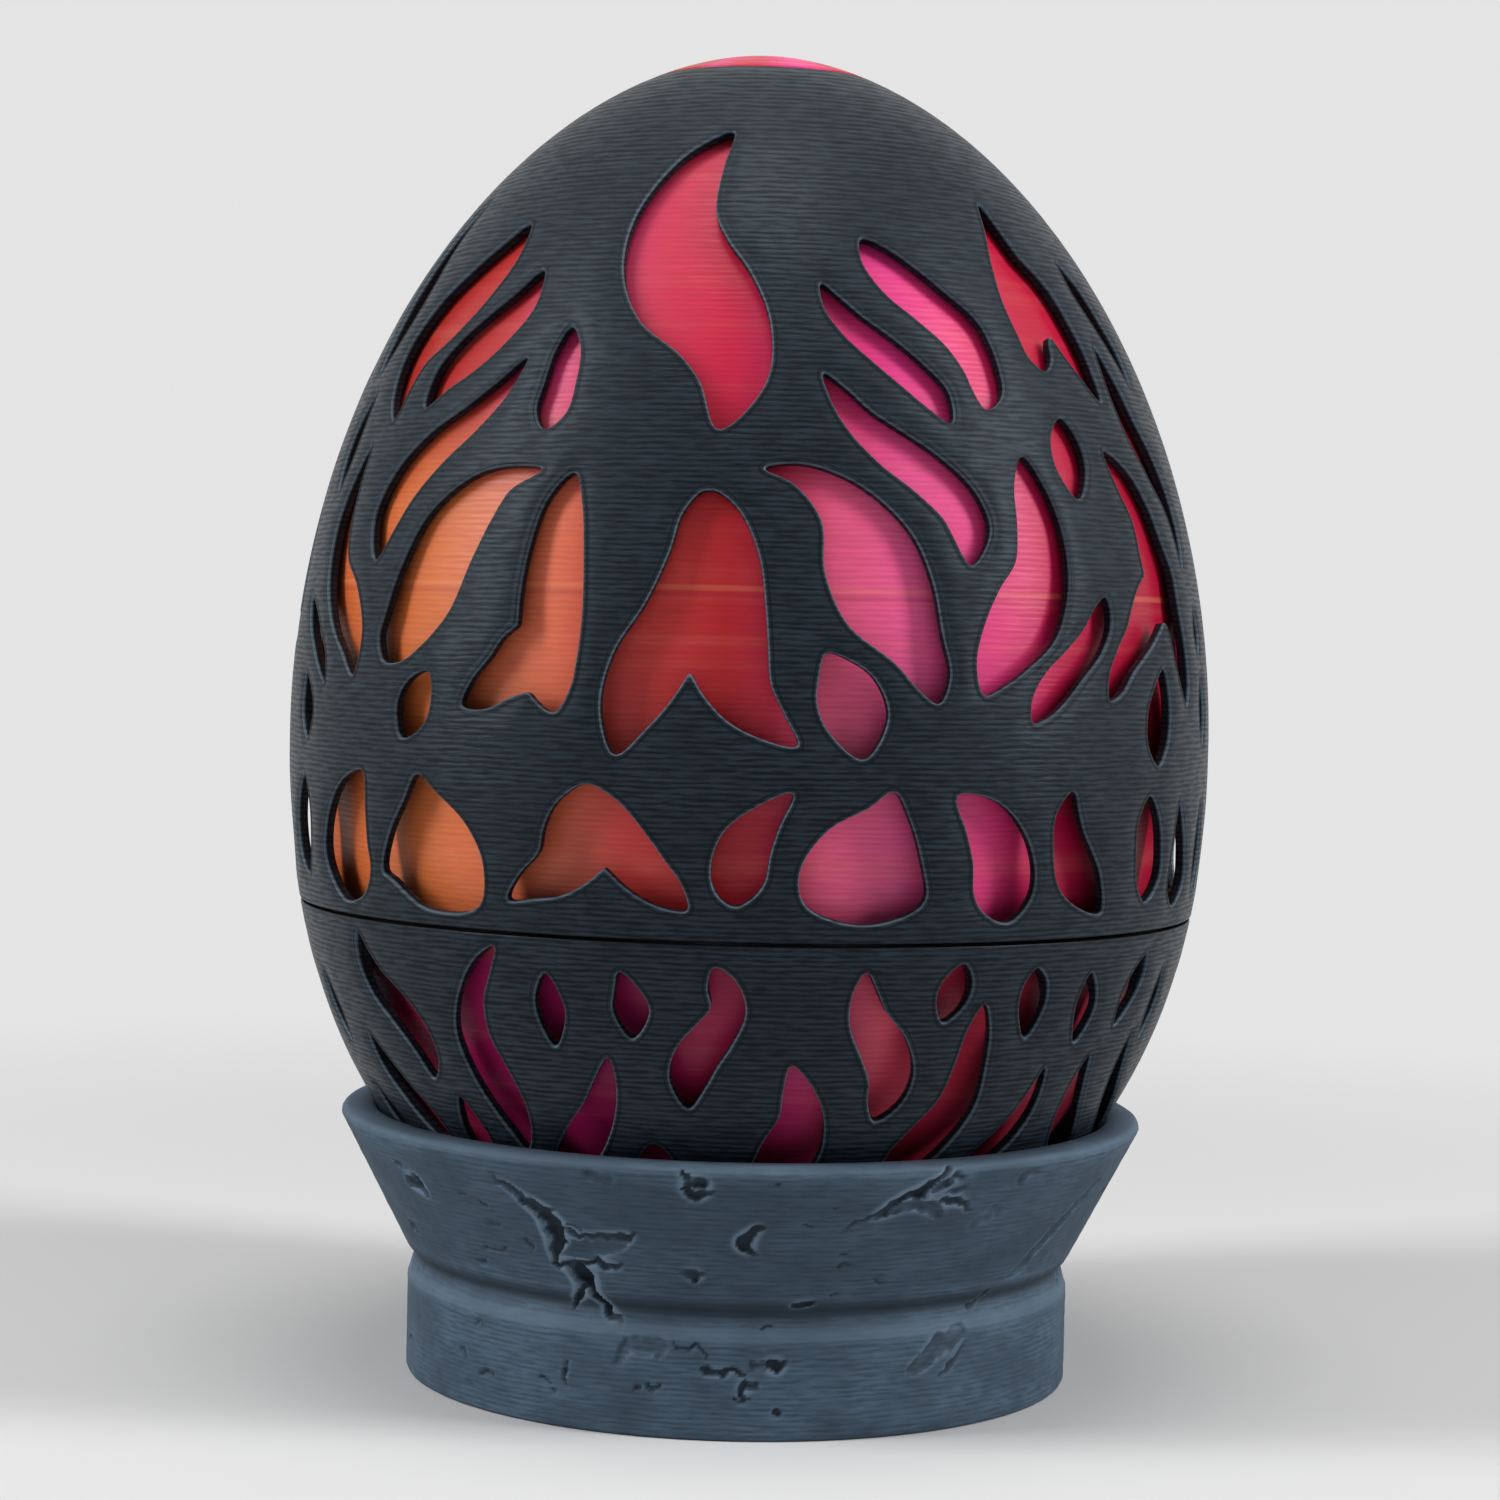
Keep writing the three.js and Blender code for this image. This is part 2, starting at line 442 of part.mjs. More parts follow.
// Upper shell: open at the seam, and at the crown where the inner egg comes through
function makeUpperShell() {
  const bottom = SEAM_HEIGHT + FIT / 2;
  const hole = CROWN_HOLE_DIAMETER / 2;
  const outside = surface(atHeight(bottom, skin), atCrownRadius(hole, skin), skin);
  const inside = surface(atHeight(bottom, shellInside), atCrownRadius(hole, shellInside), shellInside);
  const dome = revolve([...outside, ...inside.reverse(), outside[0]]);
  return pierce(dome, UPPER_FLAMES, UPPER_DROPS, EGG_HEIGHT);
}

// Lower shell: a bowl with a lip that stands up inside the upper shell
function makeLowerShell() {
  const top = SEAM_HEIGHT - FIT / 2;
  const inside = surface(-90, atBowlRadius(LIP_INSIDE, shellInside), shellInside);
  const outline = [
    ...surface(-90, atHeight(top, skin), skin),
    new THREE.Vector2(LIP_OUTSIDE, top),
    new THREE.Vector2(LIP_OUTSIDE, LIP_TOP),
    new THREE.Vector2(LIP_INSIDE, LIP_TOP),
    ...inside.reverse(),
  ];
  return pierce(revolve(outline), LOWER_FLAMES, LOWER_DROPS, 0);
}

// Upper half of the inner egg; its crown fills the shell's hole and ends flush with it
function makeInnerUpper() {
  const bottom = SEAM_HEIGHT + FIT / 2;
  const crown = CROWN_HOLE_DIAMETER / 2 - FIT;
  const shoulder = atCrownRadius(crown, innerOutside);
  const outside = surface(atHeight(bottom, innerOutside), shoulder, innerOutside);
  const cap = surface(atCrownRadius(crown, skin), 90, skin);
  const inside = surface(atHeight(bottom, innerInside), 90, innerInside);
  return revolve([...outside, ...cap, ...inside.reverse(), outside[0]]);
}

// Lower half of the inner egg; its foot stands in the shell and its collar in the upper half
function makeInnerLower() {
  const top = SEAM_HEIGHT - FIT / 2;
  const foot = INNER_FOOT_DIAMETER / 2;
  const mouth = atHeight(top, innerInside);
  const collarOutside = eggPoint(mouth, innerInside(mouth)).x - FIT;
  const collarInside = collarOutside - COLLAR_WALL;
  const collarTop = SEAM_HEIGHT + FIT / 2 + COLLAR_HEIGHT;
  const inside = surface(-90, atBowlRadius(collarInside, innerInside), innerInside);
  return revolve([
    ...surface(-90, atBowlRadius(foot, nearShell), nearShell),
    ...surface(atBowlRadius(foot, innerOutside), atHeight(top, innerOutside), innerOutside),
    new THREE.Vector2(collarOutside, top),
    new THREE.Vector2(collarOutside, collarTop),
    new THREE.Vector2(collarInside, collarTop),
    ...inside.reverse(),
  ]);
}

// Stand: a straight base, a groove and a cone that opens to a rounded rim round the egg's seat
function makeStand() {
  const rimCentre = new THREE.Vector2(RIM_DIAMETER / 2 - RIM_EDGE, STAND_HEIGHT - RIM_EDGE);
  const rimEdge = [0, 30, 60, 90].map((turn) => {
    const angle = THREE.MathUtils.degToRad(turn);
    return new THREE.Vector2(Math.cos(angle), Math.sin(angle)).multiplyScalar(RIM_EDGE).add(rimCentre);
  });
  const seat = surface(-90, atHeight(STAND_HEIGHT - EGG_BASE, seatSurface), seatSurface);
  seat.forEach((point) => {
    point.y += EGG_BASE;
  });
  return revolve([
    new THREE.Vector2(0, 0),
    new THREE.Vector2(BASE_DIAMETER / 2, 0),
    new THREE.Vector2(BASE_DIAMETER / 2, BASE_HEIGHT),
    new THREE.Vector2(GROOVE_DIAMETER / 2, GROOVE_HEIGHT),
    new THREE.Vector2(CONE_FOOT_DIAMETER / 2, CONE_FOOT_HEIGHT),
    ...rimEdge,
    ...seat.reverse(),
  ]);
}

// The egg stands upright in the stand's seat
const egg = new THREE.Group();
egg.position.z = EGG_BASE;
egg.add(
  toMesh('lower_shell', makeLowerShell(), shellPlastic),
  toMesh('inner_egg_lower', makeInnerLower(), silkPlastic),
  toMesh('inner_egg_upper', makeInnerUpper(), silkPlastic),
  toMesh('upper_shell', makeUpperShell(), shellPlastic),
);

const ornament = new THREE.Group();
ornament.add(toMesh('stand', makeStand(), standPlastic), egg);

export default ornament;
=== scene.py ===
# Dragon egg ornament on its stand, dressed for rendering: two pierced shells, the glossy inner
# egg that shows through their flames, and the cracked round stand.
# Sizes are in millimetres, heights are above the table, and azimuths are degrees from the
# front, positive to the viewer's right. The scene itself is in metres.

import math

import bmesh
import bpy
import numpy as np
from mathutils import Matrix, Vector
from mathutils.geometry import delaunay_2d_cdt


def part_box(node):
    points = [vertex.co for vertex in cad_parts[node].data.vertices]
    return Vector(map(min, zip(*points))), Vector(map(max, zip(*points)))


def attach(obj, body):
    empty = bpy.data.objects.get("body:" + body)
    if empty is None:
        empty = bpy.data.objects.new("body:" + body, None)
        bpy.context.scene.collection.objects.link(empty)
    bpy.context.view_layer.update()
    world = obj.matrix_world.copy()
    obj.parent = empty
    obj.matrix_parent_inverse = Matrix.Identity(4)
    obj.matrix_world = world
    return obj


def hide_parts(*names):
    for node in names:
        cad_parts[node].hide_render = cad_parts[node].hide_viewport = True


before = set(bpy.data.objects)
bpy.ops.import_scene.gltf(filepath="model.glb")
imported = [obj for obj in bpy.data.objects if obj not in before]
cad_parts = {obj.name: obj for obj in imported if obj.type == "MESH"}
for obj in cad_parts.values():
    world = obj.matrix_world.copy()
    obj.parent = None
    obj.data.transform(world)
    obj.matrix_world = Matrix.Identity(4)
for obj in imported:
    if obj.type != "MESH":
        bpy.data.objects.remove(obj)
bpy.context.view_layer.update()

MM = 0.001


def box_mm(node):
    low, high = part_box(node)
    return np.array(low) / MM, np.array(high) / MM


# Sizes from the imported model
FIT = 0.3
EGG_BASE = box_mm("lower_shell")[0][2]
EGG_TOP = box_mm("inner_egg_upper")[1][2]
EGG_RADIUS = box_mm("upper_shell")[1][0]
SEAM = box_mm("upper_shell")[0][2] - FIT / 2
WAIST_INNER_RADIUS = box_mm("inner_egg_upper")[1][0]
COLLAR_TOP = box_mm("inner_egg_lower")[1][2]
LIP_TOP = box_mm("lower_shell")[1][2]
STAND_TOP = box_mm("stand")[1][2]
RIM_RADIUS = box_mm("stand")[1][0]

# Outline of the egg
WAIST = EGG_BASE + 66
LOWER_END = (2.37, 1.68)
UPPER_END = (1.96, 1.86)
CROWN_RADIUS = 11.9
SHELL_WALL = 1.2
LIP_WALL = 1.2

# Inner egg
INNER_WALL = 1.8
INNER_SHOULDER = EGG_BASE + 89
INNER_TAPER = 0.02
INNER_FOOT_RADIUS = 13
COLLAR_WALL = 1.4

# Stand
RIM_EDGE = 0.9
CONE_FOOT = (36.4, 13.8)
GROOVE = (35.5, 12.6)
BASE = (36.2, 10.5)

# Each flame is a brush stroke from tip to tip: azimuth, height in percent of the way from the
# seam to the egg's own tip, and width in percent of its diameter. Strokes that cross are one
# opening. The flames go round the egg in two like halves; the drops are on the front half.
UPPER_FLAMES = [
    # Great flame under the crown
    [[-6.7, 87.6, 0], [-11.8, 84.3, 4.4], [-14.8, 78.2, 8], [-13.4, 73, 10.8], [-9.2, 68.2, 12],
     [-4.6, 63.7, 9.6], [-3.2, 58.7, 6.4], [-4.7, 53.6, 0]],
    # Slanting strokes to its right
    [[9.1, 69.9, 0], [10.5, 67.9, 2], [13.2, 65.4, 3], [17, 62.9, 3.6], [21, 60.2, 3.7],
     [24.2, 57.6, 3.2], [25.6, 55.1, 0]],
    [[16.6, 75.2, 0], [18.3, 73.5, 3.4], [21.6, 70.8, 5.2], [26, 68, 5.4], [30.2, 65, 5.6],
     [32, 61.2, 4.5], [32, 58.7, 3.6], [31.2, 56.8, 0]],
    [[8.6, 60, 0], [10.5, 57.8, 2], [13.2, 54.9, 3.2], [17, 52.2, 4.3], [21.5, 49.5, 4.7],
     [25.4, 46.3, 4.8], [26.6, 43.5, 4.4], [26.2, 40, 0]],
    # Slanting strokes to its left
    [[-44.2, 77.1, 0], [-45.9, 73.9, 4.4], [-49.4, 70.1, 6.8], [-54, 66.3, 7.6], [-57.8, 62.4, 6],
     [-58, 58.5, 3.8], [-57, 55, 0]],
    [[-35.8, 71.4, 0], [-37.2, 68, 3.8], [-40.5, 64.9, 5.2], [-44.5, 62.1, 5.4], [-48.2, 59.4, 4],
     [-50, 56.2, 0]],
    [[-33, 61.5, 0], [-36, 58, 2.4], [-40, 54.8, 3.6], [-45, 51.7, 4.6], [-49.7, 47.7, 5.2],
     [-52.1, 43.6, 4.6], [-52.4, 39.3, 0]],
    # Hooked flame at the upper right
    [[45.7, 80.7, 0], [45.3, 76.9, 3], [45, 73.1, 5.6], [44.4, 68.8, 6.4], [43.6, 65, 4.5],
     [43.6, 62.9, 3.4], [43.7, 61.6, 0]],
    [[46, 75.8, 0], [48.5, 70.9, 5.5], [51, 66.6, 5], [53, 62.8, 3.6], [54.9, 58.7, 0]],
    # Large flames round the middle, the forked ones of two strokes
    [[-26.8, 49.2, 0], [-31.5, 48.3, 2.6], [-35, 46.4, 5.4], [-39.3, 42, 8.4], [-42.4, 36, 9.1],
     [-45.7, 31.4, 6.4], [-47.2, 29.8, 4.6], [-48, 28.4, 0]],
    [[-22.4, 48.9, 0], [-23.2, 46, 3.7], [-23.6, 40, 6.1], [-23.6, 33.5, 6.9], [-23.4, 28.5, 6],
     [-22.9, 25.9, 4.4], [-22.3, 23.6, 0]],
    [[-24.5, 33.5, 0], [-26, 29.4, 6.8], [-29.5, 27.1, 4.7], [-32.5, 25.1, 3.2], [-34.6, 24, 0]],
    [[-5.8, 47.2, 0], [-5.8, 44.9, 4.2], [-5.8, 40, 6.6], [-8.5, 33.8, 6.8], [-11.8, 28.1, 7.4],
     [-14.1, 23.2, 5], [-15, 19.4, 0]],
    [[-5.4, 47.2, 0], [-4.8, 44.9, 4.6], [-3.4, 40, 6.8], [-2.8, 34.6, 7.4], [-2.5, 29.8, 7.8],
     [-0.4, 25.4, 5.6], [2.8, 22.6, 3], [5.4, 20.8, 0]],
    [[1, 49.6, 0], [5.3, 49.1, 2.3], [10.4, 46.1, 5.4], [13.4, 41.2, 9.6], [15.9, 36, 9.8],
     [19.2, 31.1, 5.7], [21, 27.6, 3.6], [21.5, 25.4, 0]],
    [[35.7, 52, 0], [35.9, 49.1, 3.7], [36.7, 44.4, 5.8], [36.4, 39.5, 7], [33.8, 35.1, 8.2],
     [30.3, 31.3, 6.4], [28.3, 28.6, 4], [27.2, 26.4, 0]],
    [[51.6, 53.2, 0], [55, 50.1, 3.7], [57.8, 46.6, 4.8], [59.2, 42.3, 6.4], [60.9, 38.6, 7.4],
     [63.1, 34.8, 4.5], [64.4, 30.9, 3.8], [65.4, 27.3, 2.4], [65.6, 25.2, 0]],
    [[60.5, 39.5, 0], [58, 37.3, 5.4], [55, 34.9, 5.6], [51.9, 32, 4.1], [49.7, 30.2, 3.5],
     [47.5, 27.6, 2.7], [46.2, 25.9, 0]],
    # Broad flames above the seam
    [[-51.2, 16.2, 0], [-53.4, 13.6, 5.4], [-55.3, 10, 8.6], [-56, 6.2, 10], [-56.2, 3.5, 7.4],
     [-56.8, 1.6, 0]],
    [[-41.3, 16.4, 0], [-40.8, 14, 4.8], [-40, 10.5, 11], [-39.6, 6.4, 14.2], [-39.2, 3.7, 12],
     [-40.4, 1.9, 0]],
    [[-18.2, 16.2, 0], [-19.3, 13.6, 4.6], [-19.6, 9.8, 7.2], [-22.2, 6.8, 5], [-26, 5, 2.6],
     [-28.3, 3.6, 0]],
    [[-18.2, 16.2, 0], [-17, 13.2, 5], [-14.2, 10, 5.4], [-11, 6.8, 4.6], [-8.3, 4.8, 3],
     [-6.5, 3.4, 0]],
    [[16.4, 16.2, 0], [16, 13.8, 4.4], [14.5, 10.3, 10.2], [13.4, 6.4, 13], [13.2, 3.9, 11],
     [13.2, 2.1, 0]],
    [[24, 15.8, 0], [27.4, 13.4, 4.6], [29.9, 10.1, 6.6], [31, 6.4, 7.4], [31.6, 4, 5.6], [32, 2.2, 0]],
    # Flames at the side
    [[84, 66.1, 0], [85.5, 61.7, 3], [89, 57.4, 4.2], [93, 53.6, 3.8], [96.5, 50.9, 0]],
    [[93, 73.6, 0], [94.5, 69.8, 3.2], [97.5, 65, 4], [99.5, 59.5, 0]],
    [[83, 54.1, 0], [84, 48.7, 4], [87, 42.2, 7], [90.5, 35.7, 7.4], [92.5, 29.2, 4.6], [92.8, 24.8, 0]],
    [[97, 48.7, 0], [98.8, 43.3, 4], [99.5, 36.8, 5], [98.2, 30.3, 3.6], [97, 25.9, 0]],
    [[85.5, 16.2, 0], [84.5, 12.9, 5], [84, 8, 8], [84.3, 4.6, 6.4], [84.5, 2.3, 0]],
    [[97, 16.2, 0], [97.5, 12.4, 5], [97.5, 7.5, 8], [97.3, 4.6, 6], [97, 2.3, 0]],
]

UPPER_DROPS = [
    # Between the large flames
    [[-27.2, 64.8, 0], [-26.9, 62.3, 2.8], [-26.9, 58.6, 3.6], [-27.3, 55.4, 3.5], [-27.7, 53.5, 0]],
    [[8.4, 30.5, 0], [9.3, 29, 3.3], [10.7, 26.5, 6.2], [12.2, 23.1, 6], [12.8, 19.5, 0]],
    [[46.9, 37.1, 0], [45.9, 35.1, 2.8], [43.8, 32.4, 3.4], [40.5, 29.8, 3.5], [37.3, 27.3, 3.8],
     [35, 25.1, 2.8], [33.8, 23.5, 0]],
    [[44.3, 56.5, 0], [44, 54.1, 4.2], [44, 50.9, 4.6], [44.2, 47.6, 0]],
    [[58.6, 29.4, 0], [58, 27.2, 3.2], [57, 23.8, 5.2], [56.7, 20.8, 4.2], [57, 18.6, 0]],
    [[-39.9, 27.4, 0], [-41, 25.8, 3.6], [-42.6, 22.9, 4.6], [-43.9, 20.2, 0]],
    # Right flank
    [[62, 74.9, 0], [63.3, 72, 3.2], [65.5, 68, 3.2], [67.7, 64.4, 2.6], [68.3, 61.2, 0]],
    [[59.5, 65.2, 0], [60.3, 61.2, 2.8], [61.8, 56.6, 4], [65.3, 52, 4.2], [68.7, 47.1, 3],
     [69.5, 43.3, 2], [69.3, 40.7, 0]],
    [[72.5, 36.2, 0], [72.4, 33.5, 2.4], [72.6, 30.8, 0]],
    [[73.2, 28.6, 0], [73.2, 24.8, 3], [73.3, 20.5, 0]],
    # Left flank
    [[-61.4, 52.2, 0], [-62.7, 48.2, 2.4], [-63.5, 43.3, 4.2], [-62.3, 38.4, 5], [-58.5, 34.2, 6.2],
     [-55.3, 30.3, 4.4], [-54.3, 26.6, 0]],
    [[-71.2, 35.2, 0], [-69, 33.1, 2.4], [-65.8, 30.3, 2.6], [-63.3, 27.9, 2.2], [-61.9, 25.7, 0]],
    [[-69.3, 26.6, 0], [-68.3, 24.5, 3], [-67.5, 22.1, 4], [-67.5, 19.2, 0]],
    [[-67.3, 58.5, 0], [-68.7, 54.7, 2.8], [-69.3, 50.9, 3], [-69.5, 47.1, 0]],
    [[-67.5, 81, 0], [-69.3, 75.8, 3.2], [-69, 69.8, 5], [-69.3, 65, 3.6], [-70.3, 60.8, 0]],
    # Above the seam
    [[5, 15.9, 0], [2.2, 13.3, 3], [0, 10.5, 5], [-0.9, 7.3, 5.4], [-1.2, 5.1, 3.6], [-1.2, 3.9, 0]],
    [[40.3, 16.2, 0], [39.6, 13.8, 3.2], [39.9, 11.1, 4.4], [41.5, 7.7, 5.6], [44.1, 5.3, 4.4],
     [46.9, 2.8, 0]],
    [[55.2, 15.4, 0], [55.2, 12.9, 4.4], [56, 9.1, 5.6], [56.5, 5.9, 5], [56.4, 3.5, 0]],
    [[63.9, 14.4, 0], [64.4, 11.3, 2.8], [65, 8, 4.6], [65.4, 4.8, 5.2], [65.5, 2.5, 0]],
    [[-68.5, 15.1, 0], [-69, 12.4, 4.6], [-69.8, 8.9, 6], [-69.5, 5.6, 4.2], [-68.5, 3.8, 0]],
    [[73.8, 14, 0], [73.8, 10.7, 2.6], [74, 6.9, 3], [74, 3.7, 0]],
]

LOWER_FLAMES = [
    # Under the seam, from left to right
    [[-55.2, 3.1, 0], [-54.8, 8.2, 2.8], [-53, 13.8, 4], [-49.3, 19.2, 4.6], [-46.5, 24.9, 4.4],
     [-45.8, 29.5, 3.2], [-46.2, 33.9, 0]],
    [[-30.6, 2.9, 0], [-32.6, 6.9, 2], [-35, 13.8, 3], [-36.1, 22.2, 4.4], [-34.8, 30.5, 5],
     [-33.2, 37.9, 4.4], [-32.6, 43.5, 2.6], [-32.8, 47.7, 0]],
    [[-3.4, 5, 0], [-2.6, 8.4, 2.8], [-1.7, 13.8, 3.4], [-3.3, 19, 4], [-5.6, 24.3, 4.4],
     [-6.8, 29.9, 3.6], [-6.9, 35.4, 0]],
    [[14.4, 5.6, 0], [14.4, 9.6, 2.4], [15.1, 15.3, 3.8], [17.8, 22.2, 4.8], [19.4, 28.5, 4.6],
     [19, 33.7, 3.6], [18.2, 37.9, 0]],
    [[80, 8.6, 0], [81.5, 15.9, 3.6], [84.5, 23.2, 4.6], [86, 31.6, 3.4], [85.5, 37.9, 0]],
    [[100, 10.7, 0], [99, 19, 3.4], [98, 28.5, 4], [98.5, 36.8, 0]],
    # Running down behind the stand's rim
    [[-16.9, 24.9, 0], [-17.6, 30.3, 2.2], [-19.3, 37.2, 3.4], [-22.3, 43.9, 4.2], [-26, 50.4, 3.4],
     [-29.5, 55, 0]],
    [[6.2, 25.3, 0], [7.2, 30.5, 2.8], [8.1, 36.8, 4.4], [7.2, 44.1, 6], [5, 51.5, 4.8], [3.2, 56.7, 0]],
    [[30.4, 12.8, 0], [30.3, 18, 2.6], [30.3, 26.4, 3.8], [29.9, 34.7, 4.8], [27.2, 42.1, 5.4],
     [24, 48.3, 4.4], [21, 53.6, 0]],
    [[52.5, 25.9, 0], [52.3, 31.6, 2.4], [53.2, 38.7, 4], [55.8, 45.2, 4.4], [59.5, 50.4, 3.2],
     [63.5, 54.6, 0]],
]

LOWER_DROPS = [
    # Under the seam, from left to right
    [[-71, 14.2, 0], [-70.5, 19, 2.6], [-69.3, 24.3, 2.8], [-68.3, 29.5, 0]],
    [[-24, 7.8, 0], [-24, 11.6, 2.5], [-23.8, 16.9, 3.1], [-23.8, 23.4, 0]],
    [[-14.7, 6.6, 0], [-14, 10, 2.3], [-13.4, 14.9, 3.7], [-13.5, 20.7, 0]],
    [[26.7, 4.1, 0], [26.4, 7.3, 3.1], [25.6, 11.7, 3.5], [24.9, 16.5, 0]],
    [[37.4, 5.6, 0], [37.6, 8.7, 3], [37.8, 13.9, 3.5], [37.9, 20.8, 0]],
    [[47.2, 7.4, 0], [47.5, 11.2, 2.6], [47.8, 16.1, 3.3], [47.6, 23, 0]],
    [[60, 4.6, 0], [59, 8.8, 2.8], [57.4, 14.1, 3], [56, 20.3, 0]],
    [[67.4, 9, 0], [67.5, 14.2, 2.4], [67.2, 20.1, 2.2], [66.9, 24.9, 0]],
    [[93, 4.4, 0], [91.8, 11.7, 3], [92.5, 20.1, 3.6], [93.5, 26.4, 0]],
    # Running down behind the stand's rim
    [[-66.5, 38.3, 0], [-65, 43.1, 2.6], [-62.5, 49.4, 3], [-60, 54.6, 0]],
    [[-59.5, 26.2, 0], [-58, 31.6, 2.6], [-54.7, 38.5, 3.4], [-51, 45.2, 3.4], [-48, 52.5, 0]],
    [[-42, 37, 0], [-41.8, 42.1, 2.8], [-41.6, 48.3, 3.4], [-41.5, 54.6, 0]],
    [[-12, 43.5, 0], [-12, 48.3, 4], [-12, 54.6, 4.4], [-12, 60.9, 0]],
    [[43.4, 27.6, 0], [43.2, 32.8, 1.9], [42.4, 38.7, 3], [40, 44.6, 3.6], [36.5, 49.8, 3],
     [33.5, 53.6, 0]],
    [[63.2, 22.4, 0], [63.2, 28.2, 2.2], [65, 35.4, 3.4], [69, 41.6, 3.6], [74, 47.3, 2.8],
     [78, 51.5, 0]],
    [[92, 35.8, 0], [91, 42.1, 3.4], [90.5, 49.4, 3.8], [91, 56.7, 0]],
]

# Azimuths at which the shells' flat maps are cut open, clear of every flame
UPPER_CUT = 77
LOWER_CUT = -75.3

# Step in azimuth and height from a flame to the like one behind
HALF_TURN = (180, 0)

# Flat maps: radius at which a map's width is true, grid step, farthest distance kept, and
# rounds of smoothing, which give the flames' corners the radius of a printed line
MAP_RADIUS = 45
GRID = 0.125
REACH = 1.8
SMOOTHING = 4

# Field value that a map's border rows keep, so that no edge line crosses them, and how fast
# the field may fall with the distance from them
BORDER_GUARD = 0.95
BORDER_SLOPE = 3

# Edge of an opening: distance from it and depth below the skin. A rounded bead runs along
# the opening and a shallow groove behind the bead.
EDGE_PROFILE = ((0, 0.28), (0.1, 0.08), (0.3, 0), (0.55, 0.08), (0.85, 0))
INNER_EDGE_PROFILE = ((0, 0.15), (0.15, 0))

# Mark that the points of a shell's outside carry by their distance from an opening: 1 at the
# opening, and 0 where the groove ends. The walls of openings and the lower shell's border and
# lip have the wall's mark, and the upper shell's borders have their own.
EDGE_MARKS = ((0, 0.3, 0.85), (1, 0.8, 0))
WALL_MARK = 0.5
BORDER_MARK = 0.8

# Rounding of borders: its radius, and two points on it as shares of that radius, along the
# skin and below it
EDGE_RADIUS = 0.28
EDGE_POINTS = ((0.35, 0.12), (0.06, 0.4))

# Points round the egg, rings and spacing of points over plain skin, and how closely the edge
# of an opening is followed
COLUMNS = 480
INNER_COLUMNS = 256
POLE_RADIUS = 10
POLE_ROWS = (0.75, 0.5, 0.25)
SKIN_STEP = 2
LINING_STEP = 3.2
INNER_SKIN_STEP = 1.2
INNER_LINING_STEP = 2.5
DOME_ROWS = 14
FOOT_ROWS = 8
SEAT_ROWS = 36
BEND_TOLERANCE = 0.01
SHORTEST_STEP = 0.15
LONGEST_STEP = 0.8

# Outline of the egg as dense columns of radius, height and arc length from the lower tip
LATITUDES = np.radians(np.linspace(-90, 90, 20001))


def outline_table():
    sine = np.sin(LATITUDES)
    power = np.where(sine > 0, UPPER_END[0], LOWER_END[0])
    root = np.where(sine > 0, UPPER_END[1], LOWER_END[1])
    span = np.where(sine > 0, EGG_TOP - WAIST, WAIST - EGG_BASE)
    radius = EGG_RADIUS * np.clip(1 - np.abs(sine) ** power, 0, None) ** (1 / root)
    height = WAIST + span * sine
    steps = np.hypot(np.diff(radius), np.diff(height))
    return radius, height, np.concatenate([[0], np.cumsum(steps)])


RADIUS, HEIGHT, ARC = outline_table()
NORMAL_OUT = np.gradient(HEIGHT, ARC)
NORMAL_UP = -np.gradient(RADIUS, ARC)
WAIST_ARC = np.interp(WAIST, HEIGHT, ARC)
BOWL_ARCS = ARC[ARC < WAIST_ARC]
CROWN_ARCS = ARC[ARC > WAIST_ARC]


def egg_profile(arc, depth):
    """Radius and height of points at a depth below the egg's skin"""
    radius = np.interp(arc, ARC, RADIUS) - depth * np.interp(arc, ARC, NORMAL_OUT)
    height = np.interp(arc, ARC, HEIGHT) - depth * np.interp(arc, ARC, NORMAL_UP)
    return radius, height


def turn(azimuth, radius, height):
    """Points at azimuths in radians"""
    azimuth, radius, height = np.broadcast_arrays(azimuth, radius, height)
    return np.stack([radius * np.sin(azimuth), -radius * np.cos(azimuth), height], -1)


def arc_at_height(height, depth=0):
    return np.interp(height, egg_profile(ARC, depth)[1], ARC)


def arc_at_bowl_radius(radius, depth=0):
    """Arc length below the waist. The depth is one number or one for each of BOWL_ARCS."""
    return np.interp(radius, egg_profile(BOWL_ARCS, depth)[0], BOWL_ARCS)


def arc_at_crown_radius(radius, depth=0):
    """Arc length above the waist. The depth is one number or one for each of CROWN_ARCS."""
    return np.interp(-radius, -egg_profile(CROWN_ARCS, depth)[0], CROWN_ARCS)


# Heights of the seam's two faces, and the lip that the lower shell reaches up inside the upper
LOWER_FACE = SEAM - FIT / 2
UPPER_FACE = SEAM + FIT / 2
LIP_OUTSIDE = np.interp(arc_at_height(LOWER_FACE), ARC, RADIUS) - SHELL_WALL - FIT
LIP_INSIDE = LIP_OUTSIDE - LIP_WALL


def catmull_rom(corners, steps=8):
    """A closed centripetal curve through the corners"""
    before, start, end, after = (np.roll(corners, shift, 0) for shift in (1, 0, -1, -2))
    gap_0, gap_1, gap_2 = (
        np.sqrt(np.linalg.norm(b - a, axis=1))[:, None]
        for a, b in ((before, start), (start, end), (end, after))
    )
    leave = (start - before) / gap_0 - (end - before) / (gap_0 + gap_1) + (end - start) / gap_1
    arrive = (end - start) / gap_1 - (after - start) / (gap_1 + gap_2) + (after - end) / gap_2
    t = np.linspace(0, 1, steps, endpoint=False)[:, None, None]
    curve = (
        (2 * t**3 - 3 * t**2 + 1) * start
        + (t**3 - 2 * t**2 + t) * leave * gap_1
        + (3 * t**2 - 2 * t**3) * end
        + (t**3 - t**2) * arrive * gap_1
    )
    return curve.transpose(1, 0, 2).reshape(-1, 2)


